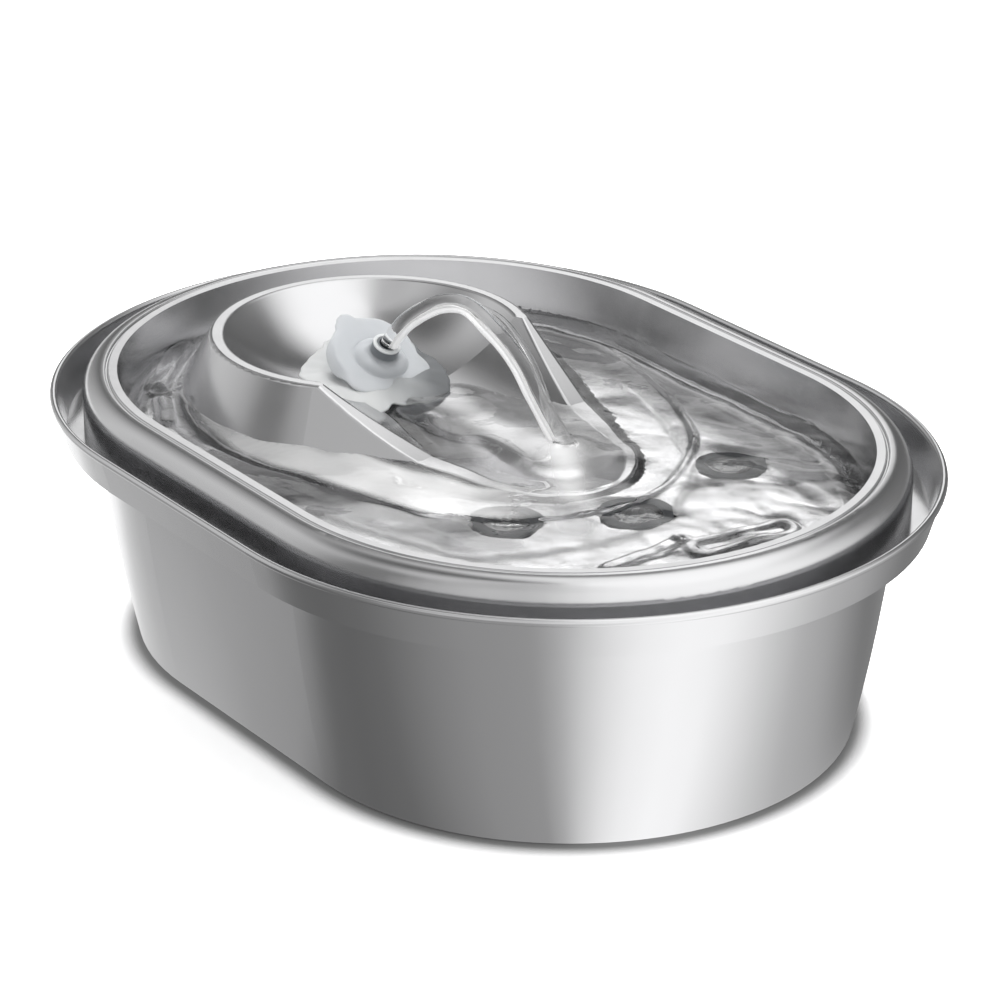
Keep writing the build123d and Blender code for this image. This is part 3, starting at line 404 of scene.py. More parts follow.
def enamelled_wire(name):
    """Enamelled copper magnet wire, wound in turns of about a third of a millimetre."""
    material, tree, shader, place = start(name, "B8683A", Metallic=0.9, Roughness=0.25, Coat_Weight=0.6)
    values = {"Scale": band_scale(0.314), "Distortion": 0.3, "Detail": 1.0}
    turns = add(tree, "ShaderNodeTexWave", values, {"Vector": place}, bands_direction="X")
    # Painted shade: darker in the grooves between turns, lighter on their crests
    tint(tree, shader, turns.outputs["Fac"], "6E3417", "C9784A")
    relief(tree, shader, turns.outputs["Fac"], 0.12)
    return material


def clear_water(name):
    """Clean water: colourless and mirror smooth, and painted opaque white, a painted reflection, where its
    attribute says.
    """
    material, tree, shader, place = start(name, "FFFFFF", Roughness=0.0, IOR=1.333, Transmission_Weight=1.0)
    shiver = add(tree, "ShaderNodeTexNoise", {"Scale": 1 / (7 * MM), "Detail": 2.0}, {"Vector": place})
    relief(tree, shader, shiver.outputs["Fac"], 0.25)
    water_pattern = add(tree, "ShaderNodeAttribute", attribute_name="painted_white")
    vary(tree, shader, "Transmission Weight", water_pattern.outputs["Fac"], 1.0, 0.0)
    return material


def glowing_highlight_water(name):
    """White, moist water that glows a little: a painted highlight, with a painted glow from its emission.
    """
    # Painted glow: its emission keeps the band white
    material, tree, shader, place = start(
        name, "FFFFFF", Roughness=0.2, IOR=1.333, Emission_Color=WHITE, Emission_Strength=0.22,
    )
    water_pattern = add(tree, "ShaderNodeTexNoise", {"Scale": 1 / (1.6 * MM), "Detail": 3.0}, {"Vector": place})
    relief(tree, shader, water_pattern.outputs["Fac"], 0.15)
    return material


steel_basin = drawn_steel("satin_stainless_basin", "D8D8D9", 0.17, 0.05)
steel_tray = drawn_steel("satin_stainless_tray", "D8D8D9", 0.2, 0.05)
# Painted shade darkens the collar, with a painted highlight on its lip
silicone = frosted_silicone("frosted_silicone", "C6C9CC", 0.06, COLLAR_PAINTED_SHADING, DISC_OUT, DISC_CENTRE)
# Painted shade darkens the skirt towards its thin side, which is clearer there too
skirt_silicone = frosted_silicone(
    "thin_frosted_silicone", "D2D5D7", 0.1, SKIRT_PAINTED_SHADING, SKIRT_THINS, (SPOUT_X, 0, 0), 0.65
)
grommet_rubber = frosted_silicone("grey_silicone", "A9ADB0", 0.0)
water = clear_water("clear_water")
# Painted highlight with a painted glow, for the band along the jet
highlight_glow = glowing_highlight_water("glowing_highlight_water")

FINISHES = {
    "basin": steel_basin,
    "tray": steel_tray,
    "flower_nozzle": silicone,
    "jet_tip": moulded("abs_grey_tip", "6C7073", 0.35),
    "drain_strainers": moulded("abs_dark_grey_strainer", "4C4F52", 0.4),
    "spout_grommet": grommet_rubber,
    "spout_sleeve": moulded("abs_white_sleeve", "E3E5E6", 0.35),
    "riser_tube": moulded("pvc_clear_tube", "DCE2E4", 0.15, IOR=1.52, Transmission_Weight=0.6),
    "filter_case": moulded("abs_white_case", "E6E8E9", 0.38),
    "case_lid": moulded("abs_white_lid", "E6E8E9", 0.38),
    "suction_cups": moulded("pvc_soft_cup", "C9CFD1", 0.3, Transmission_Weight=0.3),
    "pump_housing": moulded("abs_black_pump", "1E2023", 0.36),
    "pump_back_plate": moulded("abs_black_plate", "1E2023", 0.36),
    "volute_cover": moulded("abs_black_volute", "232528", 0.33),
    "pump_screws": turned_steel("zinc_plated_screw"),
    "stator_core": laminated_steel("silicon_steel_laminations"),
    "coil_bobbin": moulded("nylon_bobbin", "D8D2C0", 0.45),
    "stator_coil": enamelled_wire("enamelled_copper_wire"),
    "chamber_seal": moulded("nitrile_seal", "17181A", 0.55),
    "cable_gland": moulded("nitrile_gland", "1A1B1D", 0.6),
    "impeller_shaft": moulded("ceramic_shaft", "EFEDE6", 0.18),
    "shaft_bushes": moulded("nitrile_bush", "1A1B1D", 0.6),
    "rotor_magnet": moulded("ferrite_magnet", "3A3B3D", 0.5, 0.3, 0.02, Metallic=0.4),
    "impeller": moulded("acetal_white_impeller", "EDEDEA", 0.3),
    "flow_dial": moulded("abs_grey_dial", "55585C", 0.36),
    "intake_cover": moulded("abs_black_intake", "232528", 0.36),
    "pre_filter_foam": open_foam("reticulated_foam"),
    "cartridge_frame": moulded("pp_white_cartridge", "E9EBEA", 0.4),
    "cartridge_grille": moulded("pp_white_grille", "E9EBEA", 0.4),
    "filter_cotton": needled_cotton("needled_wadding"),
    "carbon_bed": loose_grains("activated_carbon", "0B0C0D", "2A2C2F", 1.4, 0.6),
    "resin_bed": loose_grains("ion_exchange_resin", "B98A3C", "E8C57A", 0.8, 0.2),
}
for name, finish in FINISHES.items():
    nodes[name].data.materials.clear()
    nodes[name].data.materials.append(finish)


# ---------------------------------------------------------------- mesh tools
def into_scene(name, bm, finish):
    """Turns a bmesh in millimetres into an object of one finish."""
    bmesh.ops.scale(bm, vec=(MM, MM, MM), verts=bm.verts)
    mesh = bpy.data.meshes.new(name)
    bm.to_mesh(mesh)
    bm.free()
    mesh.materials.append(finish)
    made = bpy.data.objects.new(name, mesh)
    bpy.context.scene.collection.objects.link(made)
    return made


def piece(name, bm, finish, body):
    """Closes a bmesh into a shown piece that rides on a body."""
    bmesh.ops.remove_doubles(bm, verts=bm.verts, dist=MERGE)
    bmesh.ops.recalc_face_normals(bm, faces=bm.faces)
    for face in bm.faces:
        face.smooth = True
    made = into_scene(name, bm, finish)
    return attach(made, body)


def along(points, t):
    """A point on the smooth line through the given tuples, at t from 0 to 1."""
    place = t * (len(points) - 1)
    i = min(int(place), len(points) - 2)
    f = place - i
    a, b, c, d = (points[min(max(i + k, 0), len(points) - 1)] for k in (-1, 0, 1, 2))
    return [
        0.5 * (2 * q + (r - p) * f + (2 * p - 5 * q + 4 * r - s) * f**2 + (3 * q - p - 3 * r + s) * f**3)
        for p, q, r, s in zip(a, b, c, d)
    ]


def trace(points, steps):
    """The smooth line through the given tuples, in that many steps."""
    return [along(points, i / steps) for i in range(steps + 1)]


def smooth_step(value, low, high):
    """Gentle change from 0 at low to 1 at high."""
    share = min(max((value - low) / (high - low), 0), 1)
    return share * share * (3 - 2 * share)


def settle(value):
    """Gentle change from 0 far below nought to 1 far above it, half way at nought."""
    return (1 + tanh(value / 2)) / 2


def ends_fade(share, first, last):
    """1 along a line, and down to 0 over its first and its last share."""
    return min(1, share / first, (1 - share) / last)


# ---------------------------------------------------------------- pool
def steel_under(names):
    """What a plumb line from above meets first on these nodes, for reading heights."""
    joined = bmesh.new()
    for name in names:
        joined.from_mesh(nodes[name].data)
    tree = BVHTree.FromBMesh(joined)
    joined.free()
    return tree


bed = steel_under(["tray", "drain_strainers", "spout_grommet"])
CREST_LINE = trace(CREST, 120)
SWELL_LINE = trace(SWELL, 60)


def bed_height(x, y):
    """Height of the steel under the water."""
    hit = bed.ray_cast(Vector((x * MM, y * MM, PLUMB_FROM * MM)), Vector((0, 0, -1)))[0]
    return HOLE_BED if hit is None or hit.z < HOLE_BELOW * MM else hit.z / MM


def off_line(line, x, y):
    """Distance to a line, positive on its left, and how far along it the nearest point is."""
    last = len(line) - 1
    best = min(range(last + 1), key=lambda i: (line[i][0] - x) ** 2 + (line[i][1] - y) ** 2)
    i = min(max(best, 1), last - 1)
    (ax, ay), (bx, by) = line[i - 1], line[i + 1]
    across = ((bx - ax) * (y - ay) - (by - ay) * (x - ax)) / hypot(bx - ax, by - ay)
    return across, best / last


def off_straight(first, last, x, y):
    """Distance to the straight piece of line between two points."""
    (ax, ay), (bx, by) = first, last
    share = ((x - ax) * (bx - ax) + (y - ay) * (by - ay)) / ((bx - ax) ** 2 + (by - ay) ** 2)
    share = min(max(share, 0), 1)
    return hypot(x - ax - share * (bx - ax), y - ay - share * (by - ay))


def off_chute(x, y):
    """Distance from the chute's middle line."""
    return abs(-(x - SPOUT_X) * sin(CHUTE_TURN) + y * cos(CHUTE_TURN))


def folds(x, y):
    """Height of the standing folds."""
    height = 0
    for first, last, offset, spread, rise, steepness in FOLDS:
        gap = abs(off_straight(first, last, x, y) - offset)
        height += rise * exp(-((gap / spread) ** steepness))
    return height


def swell(x, y):
    """Height of the overflow's swell in the chute, which stands on the left of its edge."""
    gap, share = off_line(SWELL_LINE, x, y)
    fade = ends_fade(share, *SWELL_ENDS) * settle((CHUTE_FLOOR - off_chute(x, y)) / CHUTE_FADE)
    step = SWELL_STEP * (settle(2 * gap / SWELL_SPREAD) - 0.5)
    lip, lip_at, lip_spread = SWELL_LIP
    return fade * SWELL_RISE * (step + lip * exp(-(((gap - lip_at) / lip_spread) ** 2)))


def slopes(x, y):
    """Height of the churned water's slopes, each steepest at its middle."""
    height = 0
    for a, b, reach, turn, rise in SLOPES:
        ahead = ((x - a) * sin(radians(turn)) + (y - b) * cos(radians(turn))) / reach
        height += rise * ahead * exp(-((x - a) ** 2 + (y - b) ** 2) / reach**2)
    return height


def splash(x, y):
    """Height of the mound where the jet falls in, and of the rings round it."""
    reach = hypot(x - SPLASH[0], y - SPLASH[1])
    rings = RING_RISE * cos(2 * pi * (reach - RING_FROM) / RING_LENGTH) * exp(-reach / RING_REACH)
    return MOUND_RISE * exp(-((reach / MOUND_SPREAD) ** 2)) + rings


def waves(x, y, kind, inside):
    """Height of one kind of wave, outside the front or inside it."""
    length, breadth, part, *heights = kind
    return heights[inside] * noise.noise(Vector((x / length, y / breadth, part)))


def calm(x):
    """Share of their full height that the waves outside the front have."""
    return CALM_HEIGHT + (1 - CALM_HEIGHT) * settle((x - CALM_FROM) / CALM_SPREAD)


def chop(x, y):
    """How much higher the quick waves outside the front are."""
    drawn = sum(exp(-((hypot(x - a, y - b) / DRAIN_REACH) ** 2)) for a, b in DRAINS)
    into_corner = (x - CORNER_FROM[0]) / CORNER_SPREAD[0] + (y - CORNER_FROM[1]) / CORNER_SPREAD[1]
    return 1 + DRAIN_CHOP * drawn + CORNER_CHOP * settle(into_corner)


def ripple(x, y):
    """Height of the moving water's surface above the still level."""
    gap, share = off_line(CREST_LINE, x, y)
    crest = CREST_RISE * ends_fade(share, *CREST_ENDS) * exp(-((gap / CREST_SPREAD) ** 2))
    if gap < 0:
        rough = waves(x, y, SLOW_WAVES, False) + chop(x, y) * waves(x, y, QUICK_WAVES, False)
        return crest + calm(x) * rough + folds(x, y)
    rough = sum(waves(x, y, kind, True) for kind in (SLOW_WAVES, ROLLING_WAVES, QUICK_WAVES))
    return crest + rough + splash(x, y) + swell(x, y) + slopes(x, y)


def painted_white(x, y):
    """Share of the light that the painted white stops: painted reflection on the sheet and the plume."""
    gap, share = off_line(CREST_LINE, x, y)
    low, high = next((a, b) for a, b in zip(SHEET_PAINTED_WHITE, SHEET_PAINTED_WHITE[1:]) if share <= b[0])
    amount = low[1] + (high[1] - low[1]) * (share - low[0]) / (high[0] - low[0])
    in_sheet = amount * smooth_step(gap, *WHITE_IN) * (1 - smooth_step(gap, *WHITE_OUT))
    in_plume = PLUME_WHITE * exp(-((off_straight(*PLUME, x, y) / PLUME_SPREAD) ** 2))
    size, part = WHITE_PATCHES
    patches = WHITE_MEAN + WHITE_SWING * noise.noise(Vector((x / size, y / size, part)))
    return min(1, (in_sheet + in_plume) * patches)


def wall_reach(x, y):
    """Distance from the pan's spine, and the nearest point of it."""
    near = min(max(x, -HALF_STRAIGHT), HALF_STRAIGHT)
    return hypot(x - near, y), near


def surface(x, y):
    """Height of the water's surface."""
    return WATER_LEVEL + ripple(x, y)


def wet(x, y):
    """Above 0 where the water stands over the bed and clear of the spout."""
    depth = surface(x, y) - bed_height(x, y)
    return min(depth, hypot(x - SPOUT_X, y) - SPOUT_CLEARANCE)


def needs_detail(edge):
    """True along the crest, the folds and the shore, and round the splash."""
    x, y = (edge.verts[0].co.xy + edge.verts[1].co.xy) / 2
    near_crest = abs(off_line(CREST_LINE, x, y)[0]) < CREST_BAND
    near_fold = min(off_straight(*fold[:2], x, y) for fold in FOLDS) < FOLD_BAND
    near_splash = hypot(x - SPLASH[0], y - SPLASH[1]) < SPLASH_BAND
    on_shore = (wet(*edge.verts[0].co.xy) > 0) != (wet(*edge.verts[1].co.xy) > 0)
    return near_crest or near_fold or near_splash or on_shore


def to_shore(v, depths):
    """Moves a dry corner of the sheet to where the water ends, and a little into the steel."""
    anchors = [a for a in (e.other_vert(v) for e in v.link_edges) if depths[a] > 0]
    if not anchors:
        anchors = [a for f in v.link_faces for a in f.verts if depths[a] > 0]
    middle = sum((a.co.xy for a in anchors), Vector((0, 0))) / len(anchors)
    low, high = middle, v.co.xy.copy()
    for _ in range(SHORE_HALVINGS):
        half = (low + high) / 2
        if wet(half.x, half.y) > 0:
            low = half
        else:
            high = half
    v.co.xy = high + (high - middle).normalized() * SHEET_BITE


def make_pool():
    """The running water in the tray: a flat grid cut to the shore, shaped above and set on the bed."""
    bm = bmesh.new()
    across, deep = (int(2 * half / POOL_MESH) for half in POOL_HALF)
    bmesh.ops.create_grid(bm, x_segments=across, y_segments=deep, size=1)
    bmesh.ops.scale(bm, vec=(*POOL_HALF, 1), verts=bm.verts)
    fine = [edge for edge in bm.edges if needs_detail(edge)]
    bmesh.ops.subdivide_edges(bm, edges=fine, cuts=1, use_grid_fill=True)
    depths = {v: wet(v.co.x, v.co.y) for v in bm.verts}
    outside = {v for v in bm.verts if wall_reach(v.co.x, v.co.y)[0] > POOL_RADIUS}
    dry = [f for f in bm.faces if all(v in outside or depths[v] <= 0 for v in f.verts)]
    bmesh.ops.delete(bm, geom=dry, context="FACES")
    for v in bm.verts:
        reach, near = wall_reach(v.co.x, v.co.y)
        if reach > POOL_RADIUS:
            share = (POOL_RADIUS + SHEET_BITE) / reach
            v.co.x = near + (v.co.x - near) * share
            v.co.y *= share
        elif depths[v] <= 0:
            to_shore(v, depths)
    feet = {}
    for v in bm.verts:
        foot = bed_height(v.co.x, v.co.y) - SHEET_BITE
        top = surface(v.co.x, v.co.y)
        if wall_reach(v.co.x, v.co.y)[0] > POOL_RADIUS:
            foot = min(foot, WATER_LEVEL + WALL_EDGE[0])
            top = WATER_LEVEL + WALL_EDGE[1]
        feet[v] = min(foot, top - THINNEST)
        v.co.z = top
    bmesh.ops.extrude_face_region(bm, geom=list(bm.faces))
    for v, foot in feet.items():
        v.co.z = foot
    # Painted reflection: how white each corner of the water is painted
    layer = bm.verts.layers.float.new("painted_white")
    for v in bm.verts:
        v[layer] = painted_white(v.co.x, v.co.y)
    return piece("water_pool", bm, water, "tray")


make_pool()


# ---------------------------------------------------------------- flower
def edge_at(table, angle):
    """Smooth closed reading of an edge table at an angle in degrees."""
    turned = table[1:] + ((table[0][0] + 360,) + table[0][1:],)
    low, high = next((p, q) for p, q in zip(table, turned) if angle <= q[0])
    share = smooth_step(angle, low[0], high[0])
    return [p + (q - p) * share for p, q in zip(low[1:], high[1:])]


def disc_frame():
    """Directions down the disc, across it and out of it."""
    out = Vector(DISC_OUT)
    across = Vector((-sin(CHUTE_TURN), cos(CHUTE_TURN), 0))
    return across.cross(out), across, out


def lathe(bm, profile, steps):
    """A closed profile of radius and height turned about Z, as a grid that the caller may reshape."""
    rows = [bm.verts.new((r, 0, z)) for r, z in profile]
    edges = [bm.edges.new((rows[i], rows[(i + 1) % len(rows)])) for i in range(len(rows))]
    bmesh.ops.spin(
        bm, geom=rows + edges, cent=(0, 0, 0), axis=(0, 0, 1), angle=2 * pi, steps=steps, use_merge=True
    )


def lathe_socket(bm):
    """Adds the flower's socket, which fits over the sleeve, to its mesh."""
    before = set(bm.verts)
    lathe(bm, SOCKET, SOCKET_STEPS)
    for v in bm.verts:
        if v not in before:
            v.co.x += SPOUT_X


def petal_rise(x, y, angle, share, lift):
    """How far a petal stands off the disc: lifted, creased and crumpled, with one facet folded down."""
    count, first, depth = PETAL_CREASES
    creases = depth * cos(count * (angle - radians(first))) * share * (1 - share)
    size, part, height, ends = PETAL_CRUMPLES
    crumples = height * noise.noise(Vector((x / size, y / size, part))) * share * (ends - share)
    middle, half, begins, drop = FACET
    facet = exp(-(((degrees(angle) - middle) / half) ** 4)) * max(0, (share - begins) / (1 - begins))
    return lift * share**PETAL_BEND + creases + crumples - drop * facet


def make_flower():
    """The flower's disc with its collar, dome and petals, and the socket that it stands on."""
    bm = bmesh.new()
    points, turns = FLOWER_STEPS
    lathe(bm, trace(FLOWER_PROFILE + FLOWER_PROFILE[:1], points)[:-1], turns)
    down, across, out = disc_frame()
    for v in bm.verts:
        reach = hypot(v.co.x, v.co.y)
        angle = atan2(v.co.y, v.co.x)
        edge, lift = edge_at(PETAL_EDGE, degrees(angle))
        height = v.co.z
        share = max(0, (reach - LOBE_FROM) / (LOBE_TO - LOBE_FROM))
        if share > 0:
            reach = LOBE_FROM + share * (edge - LOBE_FROM)
            height += petal_rise(v.co.x, v.co.y, angle, share, lift)
        elif reach > DOME_FROM[0] and height > DOME_FROM[1]:
            count, phase, rise = DOME_FLUTES
            height += rise * cos(count * angle + phase)
        spot = Vector(DISC_CENTRE) + out * height
        v.co = spot + reach * (cos(angle) * down + sin(angle) * across)
    lathe_socket(bm)
    return piece("flower_petals", bm, silicone, "flower")


def make_skirt():
    """Lower, thinner layer whose near edge droops over the bowl's mouth."""
    bm = bmesh.new()
    root, high = SKIRT_ROOT
    rings, turns = SKIRT_STEPS
    upper = [(1 + i / rings, SKIRT_HALF) for i in range(rings + 1)]
    lathe(bm, upper + [(share, -side) for share, side in reversed(upper)], turns)
    for v in bm.verts:
        share = max(0, hypot(v.co.x, v.co.y) - 1)
        angle = atan2(v.co.y, v.co.x)
        reach, low = edge_at(SKIRT_EDGE, degrees(angle))
        side = v.co.z * (1 - SKIRT_TAPER * share)
        flutes = sum(rise * sin(count * angle + phase) for count, phase, rise in SKIRT_FLUTES)
        height = high + (low - high) * share**SKIRT_BEND + flutes * share * (1 - share)
        distance = root + share * (reach - root)
        v.co = (SPOUT_X + distance * cos(angle), distance * sin(angle), height + side)
    return piece("flower_skirt", bm, skirt_silicone, "flower")


petals = make_flower()
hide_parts("flower_nozzle")
make_skirt()


# ---------------------------------------------------------------- jet
def make_stream(name, rows, steps, segments, body, wobble, finish=water):
    """A closed stream of water swept through rows of centre, half width and half thickness."""
    stations = trace([tuple(centre) + (width, thick) for centre, width, thick in rows], steps)
    bm = bmesh.new()
    bmesh.ops.create_grid(bm, x_segments=segments, y_segments=steps, size=0.5)
    for v in bm.verts:
        turn = 2 * pi * (v.co.x + 0.5)
        i = min(max(round((v.co.y + 0.5) * steps), 0), steps)
        x, y, z, width, thick = stations[i]
        ahead = Vector(stations[min(i + 1, steps)][:3]) - Vector(stations[max(i - 1, 0)][:3])
        ahead.normalize()
        side = ahead.cross(Vector((0, 0, 1))).normalized()
        lift = side.cross(ahead)
        skin = Vector((BULGE_ROUND * cos(turn), BULGE_ROUND * sin(turn), i / BULGE_STEPS))
        bulge = 1 + wobble * noise.noise(skin)
        v.co = Vector((x, y, z)) + bulge * (side * width * cos(turn) + lift * thick * sin(turn))
    bmesh.ops.remove_doubles(bm, verts=bm.verts, dist=MERGE)
    foot = (*SPLASH, surface(*SPLASH) - JET_SINKS)
    bmesh.ops.bisect_plane(
        bm, geom=list(bm.verts) + list(bm.edges) + list(bm.faces), dist=MERGE / 10,
        plane_co=foot, plane_no=(0, 0, 1), clear_inner=True,
    )
    bmesh.ops.holes_fill(bm, edges=[e for e in bm.edges if e.is_boundary], sides=0)
    return piece(name, bm, finish, body)


def inner_side(rows, offset, size):
    """Rows of a thinner stream along the inner side of another's arc."""
    moved = []
    for i, (centre, width, _) in enumerate(rows):
        ahead = Vector(rows[min(i + 1, len(rows) - 1)][0]) - Vector(rows[max(i - 1, 0)][0])
        inward = ahead.cross(Vector(HIGHLIGHT_VIEW)).normalized()
        moved.append((Vector(centre) + offset * width * inward, size, size))
    return moved


make_stream("water_jet", JET, steps=130, segments=40, body="flower", wobble=0.05)
make_stream("water_strand", STRAND, steps=60, segments=20, body="flower", wobble=0.12)
# Painted highlight: a glowing white band along the inner side of the jet's arc
highlight_band = inner_side(JET[:-1], HIGHLIGHT_OFFSET, HIGHLIGHT_SIZE)
make_stream("water_jet_highlight", highlight_band, steps=110, segments=16, body="flower", wobble=0.2, finish=highlight_glow)


# ---------------------------------------------------------------- studio
# Tones of the surroundings in polished steel's reflections, each (azimuth in degrees, grey from 0 to 255)
FLOOR_TONES = (
    (-180, 110), (-150, 130), (-120, 165), (-98, 205), (-88, 235), (-80, 225), (-75, 190), (-70, 172),
    (-66, 162), (-60, 146), (-52, 138), (-45, 112), (-40, 97), (-30, 93), (-18, 99),
    (0, 122), (15, 134), (40, 141), (50, 165), (59, 195), (70, 220), (80, 234), (95, 243),
    (108, 240), (120, 222), (131, 200), (143, 172), (155, 156), (166, 130), (174, 112),
)
LOW_TONES = (
    (-180, 112), (-158, 96), (-146, 84), (-130, 104), (-111, 92), (-98, 140), (-83, 172), (-68, 186),
    (-50, 176), (-35, 160), (-22, 112), (-8, 108), (7, 160),
    (25, 182), (42, 178), (54, 208), (68, 234), (100, 240), (130, 234), (145, 212), (158, 185), (170, 144),
)
HIGH_TONES = (
    (-180, 246), (-160, 244), (-140, 236), (-125, 220), (-110, 185), (-96, 140), (-82, 96), (-66, 78),
    (-50, 108), (-36, 135), (-22, 175), (-8, 184), (10, 170), (35, 168), (52, 194), (67, 224), (85, 242),
    (110, 248), (150, 246),
)
CARD = (-128, 20, 10, 232)  # bright card: azimuth, elevation, half width in degrees, grey
CARD_EDGE = (0.6, 1.5)  # shares of the half width between which its edge fades
TONE_CENTRE = (90, -35)  # that the floor's azimuths are measured about
HIGH_FROM, HIGH_TO = 36, 60  # degrees above the horizon where the low tones give way to the high ones
STEEL_GAIN = 1.5  # how much brighter than their tones the surroundings are, as steel soaks some up
WATER_GAIN = 2.1  # how much brighter still the card is through water, which soaks some up too
ROOM_LIGHT = 0.75  # strength of the plain surroundings that light what is matt
TABLE_HALF, TABLE_DROP = 3000, 0.2  # the table's half width, and its depth below the basin's foot
TABLE_LIFT = 0.04  # its own light, which keeps it white in a render
# Painted contact shadow: ambient occlusion darkens the table where the body meets it
CONTACT_REACH = 8.0  # of the dark line where the body meets the table
CONTACT_FROM, CONTACT_TO = 0.5, 0.97  # openness to the room where the line is darkest and where it ends
CONTACT_DARK = 0.16  # share of the table's white that is left where it is darkest

CAMERA_LENS, CAMERA_SENSOR = 134.2, 36
CAMERA_AZIMUTH, CAMERA_ELEVATION = radians(54.345), radians(23.461)
CAMERA_AIM = (-97.5, 74.8, 0)
CAMERA_DISTANCE = 1256.2


def grey_hex(grey):
    """Hex colour of a grey from 0 to 255."""
    return f"{grey:02X}" * 3


def azimuth_tone(tree, direction, tones):
    """Strength of the surroundings in a horizontal direction."""
    parts = add(tree, "ShaderNodeSeparateXYZ", None, {"Vector": direction})
    back = add(tree, "ShaderNodeMath", {1: -1.0}, {0: parts.outputs["Y"]}, operation="MULTIPLY")
    sides = {0: parts.outputs["X"], 1: back.outputs["Value"]}
    turn = add(tree, "ShaderNodeMath", None, sides, operation="ARCTAN2")
    values = {"From Min": -pi, "From Max": pi}
    share = add(tree, "ShaderNodeMapRange", values, {"Value": turn.outputs["Value"]})
    ramp = add(tree, "ShaderNodeValToRGB", None, {"Fac": share.outputs["Result"]})
    around = tones + ((180, tones[0][1]),)
    set_stops(ramp, [((azimuth + 180) / 360, grey_hex(grey)) for azimuth, grey in around])
    gain = add(tree, "ShaderNodeMath", {1: STEEL_GAIN}, {0: ramp.outputs["Color"]}, operation="MULTIPLY")
    return gain.outputs["Value"]


def card_tone(tree, direction):
    """Strength of the bright card in a direction."""
    azimuth, elevation, half, grey = CARD
    flat = cos(radians(elevation))
    aim = (sin(radians(azimuth)) * flat, -cos(radians(azimuth)) * flat, sin(radians(elevation)))
    nearness = add(tree, "ShaderNodeVectorMath", {1: aim}, {0: direction}, operation="DOT_PRODUCT")
    inner, outer = (cos(radians(share * half)) for share in CARD_EDGE)
    values = {"From Min": outer, "From Max": inner, "To Max": STEEL_GAIN * linear(grey_hex(grey))[0]}
    links = {"Value": nearness.outputs["Value"]}
    card = add(tree, "ShaderNodeMapRange", values, links, interpolation_type="SMOOTHSTEP")
    return card.outputs["Result"]


def mirrored(tree):
    """1 for what steel and water show, 0 for what the eye or a matt surface gets."""
    path = add(tree, "ShaderNodeLightPath")
    links = {0: path.outputs["Is Glossy Ray"], 1: path.outputs["Is Transmission Ray"]}
    return add(tree, "ShaderNodeMath", None, links, operation="MAXIMUM").outputs["Value"]


def through_water(tree, tone):
    """The tone as it is, or brighter for a ray that has passed through water."""
    path = add(tree, "ShaderNodeLightPath")
    values = {"To Min": 1.0, "To Max": WATER_GAIN}
    gain = add(tree, "ShaderNodeMapRange", values, {"Value": path.outputs["Is Transmission Ray"]})
    lit = add(tree, "ShaderNodeMath", None, {0: tone, 1: gain.outputs["Result"]}, operation="MULTIPLY")
    return lit.outputs["Value"]


def make_world():
    """Surroundings: plain for what is matt, toned in steel and water, and white for the eye."""
    world = bpy.data.worlds.new("studio")
    bpy.context.scene.world = world
    world.use_nodes = True
    tree = world.node_tree
    plain = tree.nodes["Background"]
    plain.inputs["Color"].default_value = WHITE
    plain.inputs["Strength"].default_value = ROOM_LIGHT
    direction = add(tree, "ShaderNodeTexCoord").outputs["Generated"]
    parts = add(tree, "ShaderNodeSeparateXYZ", None, {"Vector": direction})
    values = {"From Min": sin(radians(HIGH_FROM)), "From Max": sin(radians(HIGH_TO))}
    links = {"Value": parts.outputs["Z"]}
    height = add(tree, "ShaderNodeMapRange", values, links, interpolation_type="SMOOTHSTEP")
    low = azimuth_tone(tree, direction, LOW_TONES)
    high = azimuth_tone(tree, direction, HIGH_TONES)
    links = {0: height.outputs["Result"], 2: low, 3: high}
    around = add(tree, "ShaderNodeMix", None, links, data_type="FLOAT")
    card = through_water(tree, card_tone(tree, direction))
    tone = add(tree, "ShaderNodeMath", None, {0: around.outputs[0], 1: card}, operation="MAXIMUM")
    toned = add(tree, "ShaderNodeBackground", {"Color": WHITE}, {"Strength": tone.outputs[0]})
    links = {0: mirrored(tree), 1: plain.outputs[0], 2: toned.outputs[0]}
    first = add(tree, "ShaderNodeMixShader", None, links)
    white = add(tree, "ShaderNodeBackground", {"Color": WHITE, "Strength": 1.0})
    eye = add(tree, "ShaderNodeLightPath").outputs["Is Camera Ray"]
    last = add(tree, "ShaderNodeMixShader", None, {0: eye, 1: first.outputs[0], 2: white.outputs[0]})
    tree.links.new(last.outputs[0], tree.nodes["World Output"].inputs["Surface"])


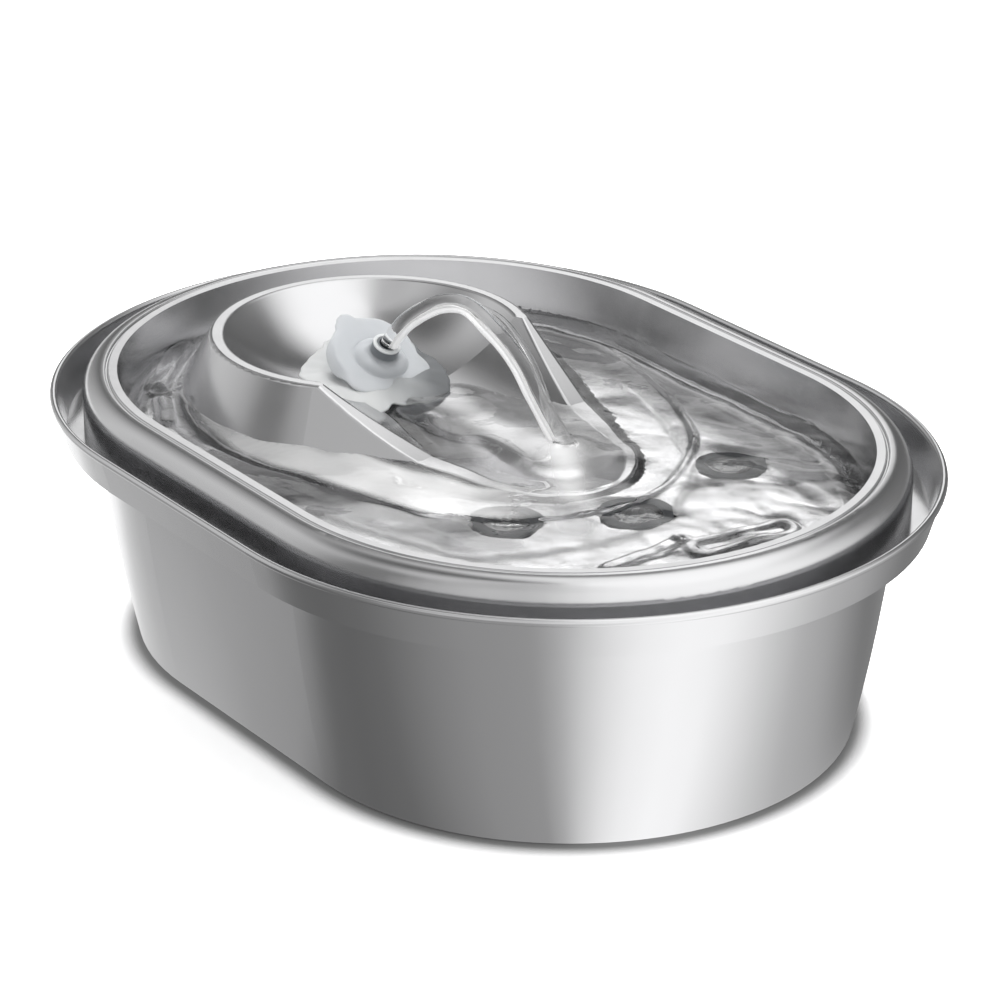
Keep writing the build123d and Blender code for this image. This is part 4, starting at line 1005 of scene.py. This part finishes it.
def matt_white_table(name):
    """Matt white table top: plain for the eye, with soft shadows and a painted contact shadow, and toned in
    the steel's reflections.
    """
    material, tree, shader, place = start(name, "FFFFFF", Roughness=1.0, Specular_IOR_Level=0.0)
    own = add(tree, "ShaderNodeEmission", {"Color": WHITE, "Strength": TABLE_LIFT})
    fill = add(tree, "ShaderNodeBsdfDiffuse", {"Color": WHITE})
    full = add(tree, "ShaderNodeAddShader", None, {0: shader.outputs[0], 1: fill.outputs[0]})
    lit = add(tree, "ShaderNodeAddShader", None, {0: full.outputs[0], 1: own.outputs[0]})
    # Painted contact shadow from ambient occlusion
    near = add(tree, "ShaderNodeAmbientOcclusion", {"Distance": CONTACT_REACH * MM})
    values = {"From Min": CONTACT_FROM, "From Max": CONTACT_TO, "To Min": CONTACT_DARK, "To Max": 1.0}
    contact = add(tree, "ShaderNodeMapRange", values, {"Value": near.outputs["AO"]})
    shaded = add(tree, "ShaderNodeMixShader", None, {0: contact.outputs["Result"], 2: lit.outputs[0]})
    centre = (TONE_CENTRE[0] * MM, TONE_CENTRE[1] * MM, 0)
    off = add(tree, "ShaderNodeVectorMath", {1: centre}, {0: place}, operation="SUBTRACT")
    tone = azimuth_tone(tree, off.outputs["Vector"], FLOOR_TONES)
    toned = add(tree, "ShaderNodeEmission", {"Color": WHITE}, {"Strength": tone})
    links = {0: mirrored(tree), 1: shaded.outputs[0], 2: toned.outputs[0]}
    mix = add(tree, "ShaderNodeMixShader", None, links)
    tree.links.new(mix.outputs[0], tree.nodes["Material Output"].inputs["Surface"])
    return material


def make_table():
    """Flat table under the object, which isn't a part of it."""
    bm = bmesh.new()
    bmesh.ops.create_grid(bm, x_segments=2, y_segments=2, size=TABLE_HALF)
    bmesh.ops.translate(bm, vec=(0, 0, -TABLE_DROP), verts=bm.verts)
    table = into_scene("table", bm, matt_white_table("matt_white_table"))


def soft_box(name, place, target, size, power):
    """Rectangular light that mirrors and water don't show."""
    light = bpy.data.lights.new(name, "AREA")
    light.shape = "RECTANGLE"
    light.size, light.size_y = size
    light.energy = power
    holder = bpy.data.objects.new(name, light)
    bpy.context.scene.collection.objects.link(holder)
    holder.location = place
    holder.visible_glossy = False
    holder.visible_transmission = False
    away = Vector(place) - Vector(target)
    holder.rotation_euler = away.to_track_quat("Z", "Y").to_euler()


make_world()
make_table()
# Overhead light, in metres and watts
soft_box("overhead_box", place=(-0.35, 0.25, 1.1), target=(0, 0, 0), size=(0.8, 0.8), power=9)

# Camera, at the height of someone looking down on the table
camera = bpy.data.cameras.new("camera")
camera.sensor_width = CAMERA_SENSOR
camera.lens = CAMERA_LENS
level = cos(CAMERA_ELEVATION)
sight = Vector((sin(CAMERA_AZIMUTH) * level, -cos(CAMERA_AZIMUTH) * level, sin(CAMERA_ELEVATION)))
viewer = bpy.data.objects.new("camera", camera)
bpy.context.scene.collection.objects.link(viewer)
viewer.location = MM * (Vector(CAMERA_AIM) + CAMERA_DISTANCE * sight)
viewer.rotation_euler = sight.to_track_quat("Z", "Y").to_euler()
bpy.context.scene.camera = viewer
bpy.context.scene.view_settings.view_transform = "Standard"
